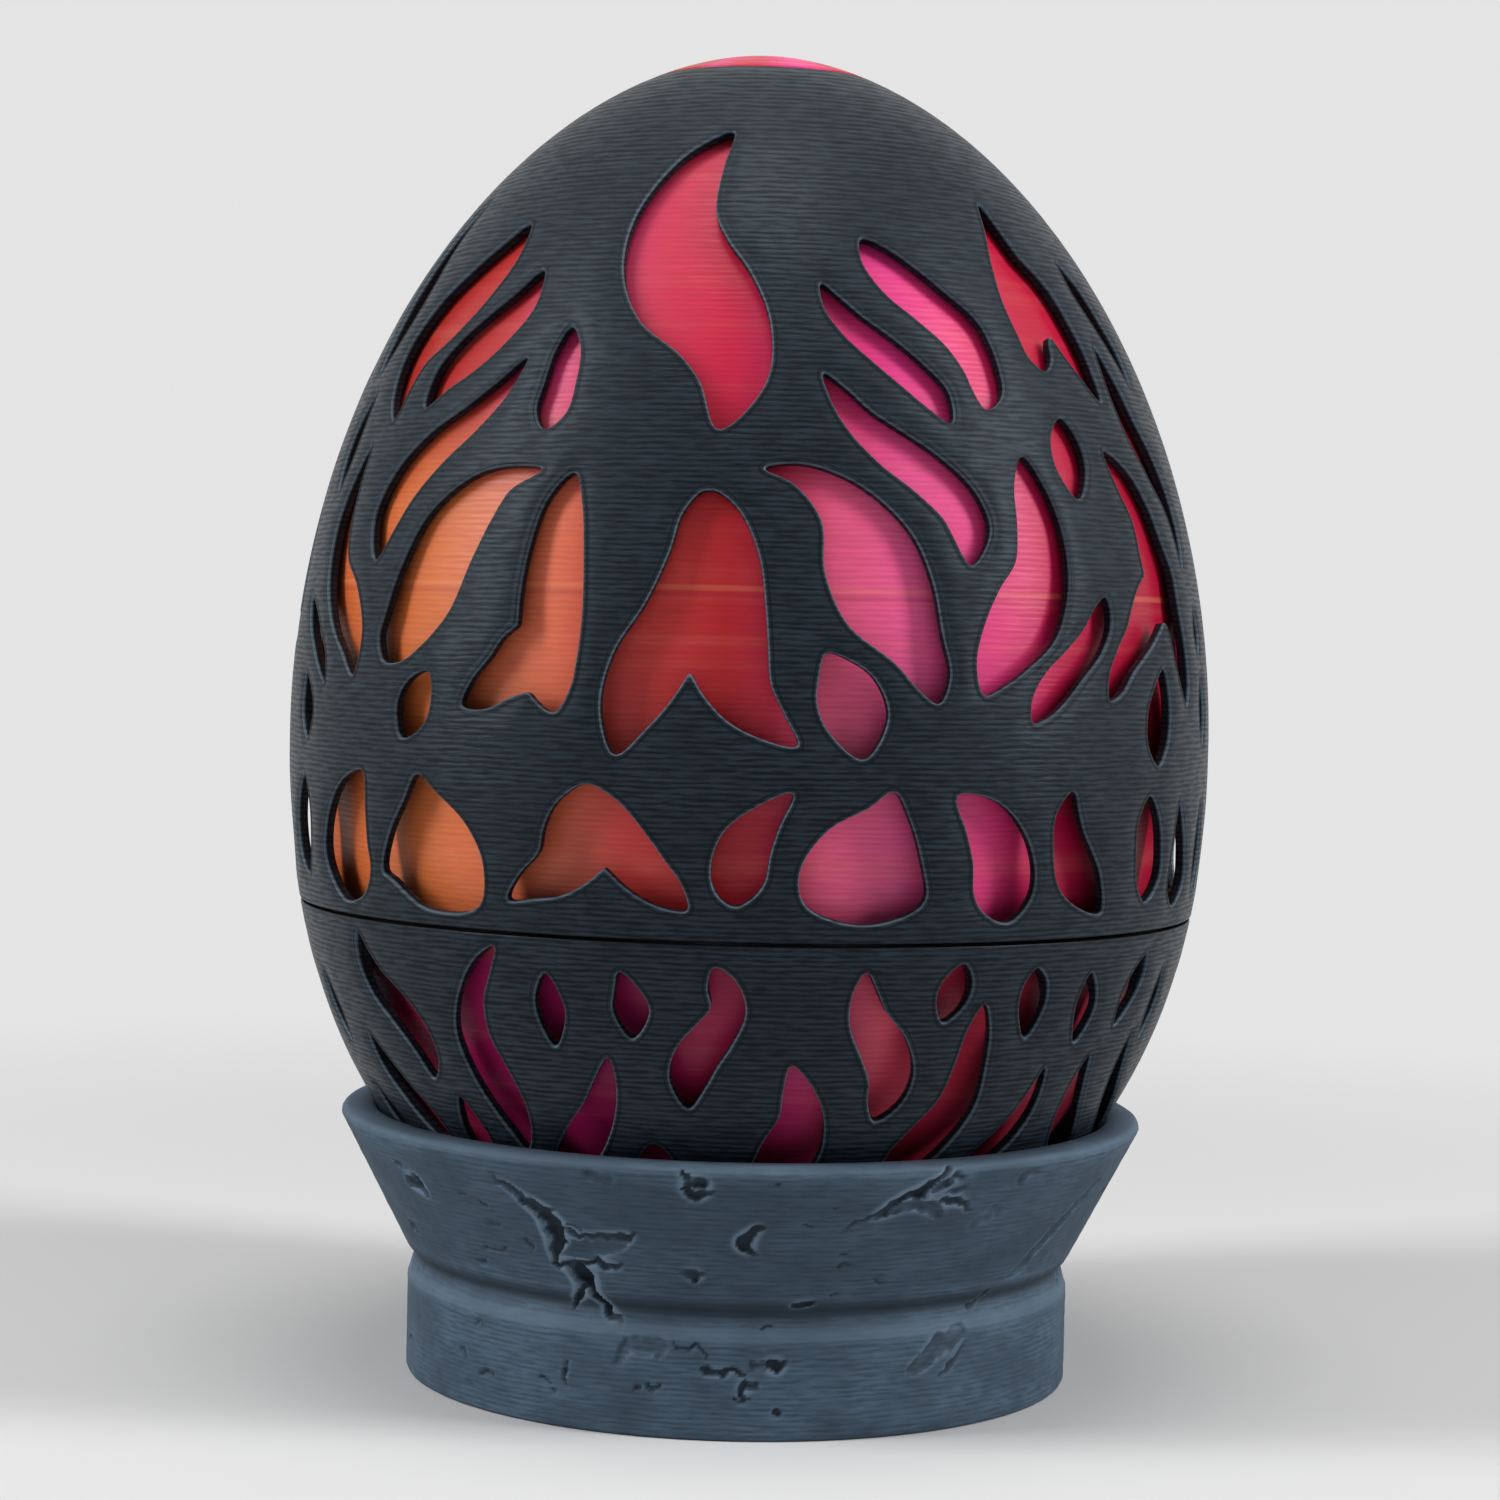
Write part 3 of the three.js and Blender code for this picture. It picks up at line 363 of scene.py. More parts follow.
def stroke_edge(stroke, tip_height):
    """The closed edge of a stroke as azimuths and heights"""
    azimuth, share, width = np.array(stroke, float).T
    height = SEAM + share / 100 * (tip_height - SEAM)
    arc = arc_at_height(height)
    spine = np.stack([azimuth, height], 1)
    scale = np.stack([
        np.radians(np.interp(arc, ARC, RADIUS)),
        1 / np.interp(arc, ARC, NORMAL_OUT),
    ], 1)
    padded = np.concatenate([spine[:1], spine, spine[-1:]])
    along = (padded[2:] - padded[:-2]) * scale
    along /= np.linalg.norm(along, axis=1)[:, None]
    half = width[:, None] / 100 * EGG_RADIUS
    across = np.stack([-along[:, 1], along[:, 0]], 1) * half / scale
    corners = np.concatenate([spine - across, (spine + across)[-2:0:-1]])
    flat = scale[len(spine) // 2]
    return catmull_rom(corners * flat) / flat


class FlatMap:
    """A shell's skin laid flat: x runs round the egg from the cut, y is arc length, and the
    field holds each point's distance to the nearest opening, negative inside one"""

    def __init__(self, low, high, cut, flames, drops, tip_height):
        self.cut = cut
        self.low = low
        self.high = high
        self.width = 2 * math.pi * MAP_RADIUS
        self.x_axis = np.arange(0, self.width + GRID, GRID)
        self.y_axis = np.arange(low - REACH, high + REACH, GRID)
        self.stretch = np.interp(self.y_axis, ARC, RADIUS) / MAP_RADIUS
        self.field = np.full((len(self.y_axis), len(self.x_axis)), REACH, np.float32)
        for stroke in flames + drops:
            self.open_stroke(stroke_edge(stroke, tip_height))
        for stroke in flames:
            self.open_stroke(stroke_edge(stroke, tip_height) + HALF_TURN)
        for _ in range(SMOOTHING):
            f = self.field
            f[1:-1] = (f[:-2] + 2 * f[1:-1] + f[2:]) / 4
            f[:, 1:-1] = (f[:, :-2] + 2 * f[:, 1:-1] + f[:, 2:]) / 4
        inward = np.minimum(self.y_axis - low, high - self.y_axis)[:, None]
        border = np.minimum(BORDER_GUARD - BORDER_SLOPE * inward, REACH)
        self.field = np.maximum(self.field, border)

    def open_stroke(self, edge):
        azimuth = (edge[:, 0] - self.cut) - 360 * math.floor((edge[:, 0].mean() - self.cut) / 360)
        x = np.radians(azimuth) * MAP_RADIUS
        y = arc_at_height(edge[:, 1])
        rows = slice(*np.searchsorted(self.y_axis, (y.min() - REACH, y.max() + REACH)))
        side = REACH / self.stretch[rows].min()
        columns = slice(*np.searchsorted(self.x_axis, (x.min() - side, x.max() + side)))
        at_x, at_y = np.meshgrid(self.x_axis[columns], self.y_axis[rows])
        stretch = self.stretch[rows][:, None]
        nearest = np.full(at_x.shape, REACH)
        inside = np.zeros(at_x.shape, bool)
        for x0, y0, x1, y1 in zip(x, y, np.roll(x, -1), np.roll(y, -1)):
            px, py = (at_x - x0) * stretch, at_y - y0
            dx, dy = (x1 - x0) * stretch, y1 - y0
            share = np.clip((px * dx + py * dy) / (dx * dx + dy * dy), 0, 1)
            nearest = np.minimum(nearest, np.hypot(px - share * dx, py - share * dy))
            if y0 != y1:
                crossed = at_x < x0 + (at_y - y0) / (y1 - y0) * (x1 - x0)
                inside ^= ((y0 > at_y) != (y1 > at_y)) & crossed
        patch = self.field[rows, columns]
        np.minimum(patch, np.where(inside, -nearest, nearest), out=patch)

    def distance(self, points):
        """The field at points of the map"""
        column = np.clip(points[:, 0] / GRID, 0, len(self.x_axis) - 1.001)
        row = np.clip((points[:, 1] - self.y_axis[0]) / GRID, 0, len(self.y_axis) - 1.001)
        c, r = column.astype(int), row.astype(int)
        u, v = column - c, row - r
        f = self.field
        below = f[r, c] * (1 - u) + f[r, c + 1] * u
        above = f[r + 1, c] * (1 - u) + f[r + 1, c + 1] * u
        return below * (1 - v) + above * v

    def place(self, points, depth):
        """Points of the map as points of the solid, at a depth below the skin"""
        azimuth = points[:, 0] / MAP_RADIUS + math.radians(self.cut)
        return turn(azimuth, *egg_profile(points[:, 1], depth))

    def lines_at(self, level):
        """Closed lines where the field has a value, with lower values on their left"""
        low = (self.field < level).astype(np.uint8)
        code = low[:-1, :-1] + 2 * low[:-1, 1:] + 4 * low[1:, 1:] + 8 * low[1:, :-1]
        follows = {}
        for row, column in np.argwhere((code > 0) & (code < 15)).tolist():
            sides = {
                "B": (0, row, column),
                "T": (0, row + 1, column),
                "L": (1, row, column),
                "R": (1, row, column + 1),
            }
            corner = int(code[row, column])
            if corner in SADDLES:
                middle = self.field[row:row + 2, column:column + 2].mean()
                steps = SADDLES[corner][int(middle < level)]
            else:
                steps = (CELL_STEPS[corner],)
            for start, end in steps:
                follows[sides[start]] = sides[end]
        lines = []
        while follows:
            start, crossing = follows.popitem()
            line = [start]
            while crossing != start:
                line.append(crossing)
                crossing = follows.pop(crossing)
            lines.append(self.cross_points(np.array(line), level))
        return lines

    def cross_points(self, crossings, level):
        """Where the field has a value on sides of the grid's cells"""
        upright, row, column = crossings.T
        f = self.field
        near = f[row, column]
        far = f[row + upright, column + 1 - upright]
        share = (level - near) / (far - near)
        x = (column + share * (1 - upright)) * GRID
        y = self.y_axis[0] + (row + share * upright) * GRID
        return np.stack([x, y], 1)


# Steps through a grid cell by which of its corners are low, with the low side on the left
CELL_STEPS = {
    1: "BL", 2: "RB", 3: "RL", 4: "TR", 6: "TB", 7: "TL",
    8: "LT", 9: "BT", 11: "RT", 12: "LR", 13: "BR", 14: "LB",
}
SADDLES = {5: (("BL", "TR"), ("BR", "TL")), 10: (("RB", "LT"), ("LB", "RT"))}


def even_out(line):
    """A closed line with points as close as its bends need"""
    wide = 3
    ahead = np.roll(line, -wide, 0) - line
    behind = line - np.roll(line, wide, 0)
    cross = ahead[:, 0] * behind[:, 1] - ahead[:, 1] * behind[:, 0]
    angle = np.abs(np.arctan2(cross, (ahead * behind).sum(1)))
    bend = angle / (np.linalg.norm(ahead, axis=1) + 1e-9)
    bend = (np.roll(bend, 1) + bend + np.roll(bend, -1)) / 3
    step = np.clip(np.sqrt(8 * BEND_TOLERANCE / (bend + 1e-6)), SHORTEST_STEP, LONGEST_STEP)
    lengths = np.linalg.norm(np.roll(line, -1, 0) - line, axis=1)
    need = np.concatenate([[0], np.cumsum(lengths / step)])
    count = max(math.ceil(need[-1]), 8)
    at = np.interp(np.arange(count) / count * need[-1], need, np.arange(len(line) + 1))
    closed = np.concatenate([line, line[:1]])
    index = np.arange(len(closed))
    return np.stack([np.interp(at, index, closed[:, axis]) for axis in (0, 1)], 1)


class Solid:
    """Collects the points and faces of one piece"""

    def __init__(self):
        self.points = []
        self.marks = []
        self.faces = []
        self.count = 0

    def add(self, points, mark=0):
        """Adds points in millimetres, each with a mark for how near an edge it is"""
        numbers = np.arange(self.count, self.count + len(points))
        self.points.append(points)
        self.marks.append(np.broadcast_to(mark, len(points)))
        self.count += len(points)
        return numbers

    def band(self, first, second):
        """Faces between two closed rows of as many points"""
        ahead_1, ahead_2 = np.roll(first, -1), np.roll(second, -1)
        self.faces += np.stack([first, ahead_1, ahead_2, second], 1).tolist()

    def bands(self, rows):
        for first, second in zip(rows, rows[1:]):
            self.band(first, second)

    def close(self, row, point):
        """A fan from a closed row to one point"""
        tip = self.add(np.array([point], float))[0]
        self.faces += [[a, b, tip] for a, b in zip(row.tolist(), np.roll(row, -1).tolist())]

    def build(self, name, material):
        mesh = bpy.data.meshes.new(name)
        mesh.from_pydata(np.concatenate(self.points) * MM, [], self.faces)
        marks = mesh.attributes.new("edge", "FLOAT", "POINT")
        marks.data.foreach_set("value", np.concatenate(self.marks).astype(np.float32))
        work = bmesh.new()
        work.from_mesh(mesh)
        bmesh.ops.recalc_face_normals(work, faces=work.faces)
        work.to_mesh(mesh)
        work.free()
        mesh.shade_smooth()
        mesh.materials.append(material)
        piece = bpy.data.objects.new(name, mesh)
        bpy.context.scene.collection.objects.link(piece)
        return piece


def open_sheet(solid, chart, loops, levels, fill_step, depth_of, mark_of):
    """Adds one side of a pierced shell: a triangulated sheet with holes at the loops of level
    0. Gives the numbers of the low border row, the high border row and the holes' loops."""
    border_x = np.linspace(0, chart.width, COLUMNS + 1)
    side_y = np.linspace(chart.low, chart.high, round((chart.high - chart.low) / fill_step) + 1)[1:-1]
    parts = [
        np.stack([border_x, np.full(COLUMNS + 1, chart.low)], 1),
        np.stack([border_x, np.full(COLUMNS + 1, chart.high)], 1),
        np.stack([np.zeros(len(side_y)), side_y], 1),
        np.stack([np.full(len(side_y), chart.width), side_y], 1),
    ]
    part_levels = [np.full(len(part), REACH) for part in parts]
    for line, level in zip(loops, levels):
        parts.append(line)
        part_levels.append(np.full(len(line), level))
    fill = fill_points(chart, fill_step, max(levels))
    parts.append(fill)
    part_levels.append(np.full(len(fill), REACH))
    points = np.concatenate(parts)
    level = np.concatenate(part_levels)
    starts = np.cumsum([0] + [len(part) for part in parts])
    numbers = [np.arange(a, b) for a, b in zip(starts, starts[1:])]
    low, high, left, right = numbers[:4]
    rings = numbers[4:-1]
    left_line = np.concatenate([low[:1], left, high[:1]])
    right_line = np.concatenate([low[-1:], right, high[-1:]])
    fences = [np.stack([line[:-1], line[1:]], 1) for line in (low, high, left_line, right_line)]
    fences += [np.stack([ring, np.roll(ring, -1)], 1) for ring in rings]
    edges = np.concatenate(fences).tolist()
    corners = [Vector(point) for point in points.tolist()]
    made, _, triangles, _, _, _ = delaunay_2d_cdt(corners, edges, [], 0, 1e-7, False)
    if len(made) != len(points):
        raise ValueError("lines of the flat map cross each other")
    triangles = np.array(triangles)
    holes = [ring for ring, value in zip(rings, levels) if value == 0]
    triangles = triangles[~in_hole(chart, points, triangles, holes)]
    same = np.arange(len(points))
    same[right_line] = left_line
    kept = np.unique(same)
    new = np.zeros(len(points), int)
    new[kept] = solid.add(
        chart.place(points[kept], depth_of(points[kept, 1], level[kept])),
        mark_of(level[kept]),
    )
    triangles = new[same[triangles]]
    solid.faces += triangles.tolist()
    return new[low[:-1]], new[high[:-1]], [new[ring] for ring in holes]


def in_hole(chart, points, triangles, holes):
    """Which triangles lie inside an opening, by the loop edges that they have"""
    follows = np.full(len(points), -1)
    for ring in holes:
        follows[ring] = np.roll(ring, -1)
    side = np.zeros(len(triangles), int)
    for a, b in ((0, 1), (1, 2), (2, 0)):
        first, second = triangles[:, a], triangles[:, b]
        side += np.where(follows[first] == second, 1, 0)
        side -= np.where(follows[second] == first, 1, 0)
    all_on_loops = (follows[triangles] >= 0).all(1)
    deep = chart.distance(points[triangles].mean(1)) < 0
    return (side > 0) | (all_on_loops & (side == 0) & deep)


def fill_points(chart, step, clear):
    """Points spread evenly over the plain skin"""
    rows = []
    heights = np.arange(chart.low + step * 0.8, chart.high - step * 0.6, step * 0.866)
    for i, y in enumerate(heights):
        stride = step * MAP_RADIUS / np.interp(y, ARC, RADIUS)
        count = round(chart.width / stride)
        x = (np.arange(count) + (0.75 if i % 2 else 0.25)) * chart.width / count
        rows.append(np.stack([x, np.full(count, y)], 1))
    points = np.concatenate(rows)
    return points[chart.distance(points) > min(clear + step * 0.35, REACH - GRID)]


def make_walls(solid, chart, wall_of, loops, outer_rings, inner_rings):
    """Joins the two sides of a shell round each opening"""
    for line, outer, inner in zip(loops, outer_rings, inner_rings):
        middle = solid.add(chart.place(line, wall_of(line[:, 1]) / 2), WALL_MARK)
        solid.bands([outer, middle, inner])


def even_lines(chart, level):
    return [even_out(line) for line in chart.lines_at(level)]


def pierced_sides(solid, chart, lining, wall_of):
    """Both sides of a shell and the walls of its openings. The lining is the map of the inner
    side, and wall_of gives the wall's thickness at an arc length. Gives the border rows:
    outside low and high, inside low and high."""
    rings = {level: even_lines(chart, level) for level, _ in EDGE_PROFILE}
    lining_rings = {0: rings[0]}
    for level, _ in INNER_EDGE_PROFILE[1:]:
        lining_rings[level] = even_lines(lining, level)

    def flatten(groups):
        loops = [line for lines in groups.values() for line in lines]
        levels = [level for level, lines in groups.items() for _ in lines]
        return loops, levels

    low, high, outer_holes = open_sheet(
        solid, chart, *flatten(rings), SKIN_STEP,
        lambda _, level: np.interp(level, *zip(*EDGE_PROFILE)),
        lambda level: np.interp(level, *EDGE_MARKS),
    )
    lining_low, lining_high, inner_holes = open_sheet(
        solid, lining, *flatten(lining_rings), LINING_STEP,
        lambda arc, level: wall_of(arc) - np.interp(level, *zip(*INNER_EDGE_PROFILE)),
        lambda level: np.zeros(len(level)),
    )
    make_walls(solid, chart, wall_of, rings[0], outer_holes, inner_holes)
    return low, high, lining_low, lining_high


def ring_row(solid, azimuths, radius, height, mark=0):
    return solid.add(turn(azimuths, radius, height), mark)


def map_azimuths(cut):
    return math.radians(cut) + np.arange(COLUMNS) * 2 * math.pi / COLUMNS


def make_upper_shell(material):
    low = arc_at_height(UPPER_FACE)
    high = arc_at_crown_radius(CROWN_RADIUS)
    lining_low = arc_at_height(UPPER_FACE, SHELL_WALL)
    lining_high = arc_at_crown_radius(CROWN_RADIUS, SHELL_WALL)
    flames = (UPPER_CUT, UPPER_FLAMES, UPPER_DROPS, EGG_TOP)
    chart = FlatMap(low + EDGE_RADIUS, high - EDGE_RADIUS, *flames)
    lining = FlatMap(lining_low + EDGE_RADIUS, lining_high - EDGE_RADIUS, *flames)
    solid = Solid()
    rows = pierced_sides(solid, chart, lining, lambda arc: np.full(len(arc), SHELL_WALL))
    azimuths = map_azimuths(UPPER_CUT)
    for arc, inner_arc, toward, outer_row, inner_row in (
        (low, lining_low, 1, rows[0], rows[2]),
        (high, lining_high, -1, rows[1], rows[3]),
    ):
        outline = [
            *rounded(arc, toward),
            egg_profile(arc, EDGE_RADIUS),
            egg_profile(inner_arc, SHELL_WALL - EDGE_RADIUS),
        ]
        edge = [ring_row(solid, azimuths, *point, BORDER_MARK) for point in outline]
        solid.bands([outer_row, *edge, inner_row])
    return solid.build("upper_shell_skin", material)


def rounded(arc, toward):
    """Points that round off the skin at a shell's border, whose skin lies toward one side"""
    return [
        egg_profile(arc + toward * EDGE_RADIUS * along, EDGE_RADIUS * below)
        for along, below in EDGE_POINTS
    ]


def lip_outline(outside, inside, top):
    """Points over the top of a thin upright lip, from its outside to its inside"""
    return [
        (outside, top - EDGE_RADIUS),
        (outside - EDGE_RADIUS, top),
        (inside + EDGE_RADIUS, top),
        (inside, top - EDGE_RADIUS),
    ]


def make_lower_shell(material):
    high = arc_at_height(LOWER_FACE)
    low = arc_at_bowl_radius(POLE_RADIUS)
    lining_low = arc_at_bowl_radius(POLE_RADIUS, SHELL_WALL)
    flames = (LOWER_CUT, LOWER_FLAMES, LOWER_DROPS, EGG_BASE)
    chart = FlatMap(low, high - EDGE_RADIUS, *flames)
    lining = FlatMap(lining_low, high - EDGE_RADIUS, *flames)

    def wall_of(arc):
        to_lip = np.interp(arc, ARC, RADIUS) - LIP_INSIDE
        return np.maximum(SHELL_WALL, to_lip / np.interp(arc, ARC, NORMAL_OUT))

    solid = Solid()
    low_row, high_row, inner_low_row, inner_high_row = pierced_sides(solid, chart, lining, wall_of)
    azimuths = map_azimuths(LOWER_CUT)
    outline = [
        *rounded(high, -1),
        (egg_profile(high, EDGE_RADIUS)[0], LOWER_FACE),
        (LIP_OUTSIDE, LOWER_FACE),
        *lip_outline(LIP_OUTSIDE, LIP_INSIDE, LIP_TOP),
    ]
    edge = [ring_row(solid, azimuths, *point, WALL_MARK) for point in outline]
    solid.bands([high_row, *edge, inner_high_row])
    for row, depth in ((low_row, 0), (inner_low_row, SHELL_WALL)):
        arcs = arc_at_bowl_radius(POLE_RADIUS, depth) * np.array(POLE_ROWS)
        cap = [ring_row(solid, azimuths, *egg_profile(arc, depth)) for arc in arcs]
        solid.bands([row, *cap])
        solid.close(cap[-1], (0, 0, EGG_BASE + depth))
    return solid.build("lower_shell_skin", material)


def inner_depth(arc):
    """Depth of the inner egg's surface: it passes the shell's mouth at the waist and clears
    the lip at the seam"""
    height = np.interp(arc, ARC, HEIGHT)
    waist_depth = EGG_RADIUS - WAIST_INNER_RADIUS
    lip_depth = np.interp(arc_at_height(LIP_TOP), ARC, RADIUS) - LIP_INSIDE + FIT
    stops = (LIP_TOP, WAIST, INNER_SHOULDER)
    depth = np.interp(height, stops, (lip_depth, waist_depth, SHELL_WALL + FIT))
    return depth + INNER_TAPER * np.clip(LIP_TOP - height, 0, None)


def inner_arc_at_height(height, wall=0):
    depth = inner_depth(ARC) + wall
    return np.interp(height, egg_profile(ARC, depth)[1], ARC)


def inner_points(start, end, wall, step):
    """Outline of the inner egg between two arc lengths, outside or a wall deeper"""
    arcs = np.linspace(start, end, max(round(abs(end - start) / step), 2))
    return list(zip(*egg_profile(arcs, inner_depth(arcs) + wall)))


def lathe(outline):
    """A solid turned from an outline that starts and ends on the axis"""
    solid = Solid()
    azimuths = np.arange(INNER_COLUMNS) * 2 * math.pi / INNER_COLUMNS
    rows = [ring_row(solid, azimuths, *point) for point in outline[1:-1]]
    solid.bands(rows)
    solid.close(rows[0], (0, 0, outline[0][1]))
    solid.close(rows[-1], (0, 0, outline[-1][1]))
    return solid


def make_inner_upper(material):
    crown = CROWN_RADIUS - FIT
    tip = ARC[-1]
    shoulder = arc_at_crown_radius(crown, inner_depth(CROWN_ARCS))
    cap = arc_at_crown_radius(crown)
    dome = np.linspace(tip, cap + EDGE_RADIUS, DOME_ROWS)[1:]
    bottom = inner_arc_at_height(UPPER_FACE)
    lining_bottom = inner_arc_at_height(UPPER_FACE, INNER_WALL)
    outline = [
        (0, EGG_TOP),
        *zip(*egg_profile(dome, 0)),
        egg_profile(cap + EDGE_RADIUS * 0.4, EDGE_RADIUS * 0.1),
        egg_profile(cap, EDGE_RADIUS),
        *inner_points(shoulder, bottom, 0, INNER_SKIN_STEP),
        *inner_points(lining_bottom, tip, INNER_WALL, INNER_LINING_STEP)[:-1],
        (0, EGG_TOP - inner_depth(tip) - INNER_WALL),
    ]
    return lathe(outline).build("inner_egg_upper_skin", material)


def make_inner_lower(material):
    rim = inner_arc_at_height(LOWER_FACE)
    mouth = inner_arc_at_height(LOWER_FACE, INNER_WALL)
    collar_outside = egg_profile(mouth, inner_depth(mouth) + INNER_WALL)[0] - FIT
    collar_inside = collar_outside - COLLAR_WALL
    lining_top = arc_at_bowl_radius(collar_inside, inner_depth(BOWL_ARCS) + INNER_WALL)
    foot = arc_at_bowl_radius(INNER_FOOT_RADIUS, SHELL_WALL + FIT)
    body = arc_at_bowl_radius(INNER_FOOT_RADIUS, inner_depth(BOWL_ARCS))
    sole = np.linspace(0, foot, FOOT_ROWS)[1:]
    outline = [
        (0, EGG_BASE + SHELL_WALL + FIT),
        *zip(*egg_profile(sole, SHELL_WALL + FIT)),
        *inner_points(body, rim, 0, INNER_SKIN_STEP),
        (collar_outside, LOWER_FACE),
        *lip_outline(collar_outside, collar_inside, COLLAR_TOP),
        *inner_points(lining_top, 0, INNER_WALL, INNER_LINING_STEP)[:-1],
        (0, EGG_BASE + inner_depth(0) + INNER_WALL),
    ]
    return lathe(outline).build("inner_egg_lower_skin", material)


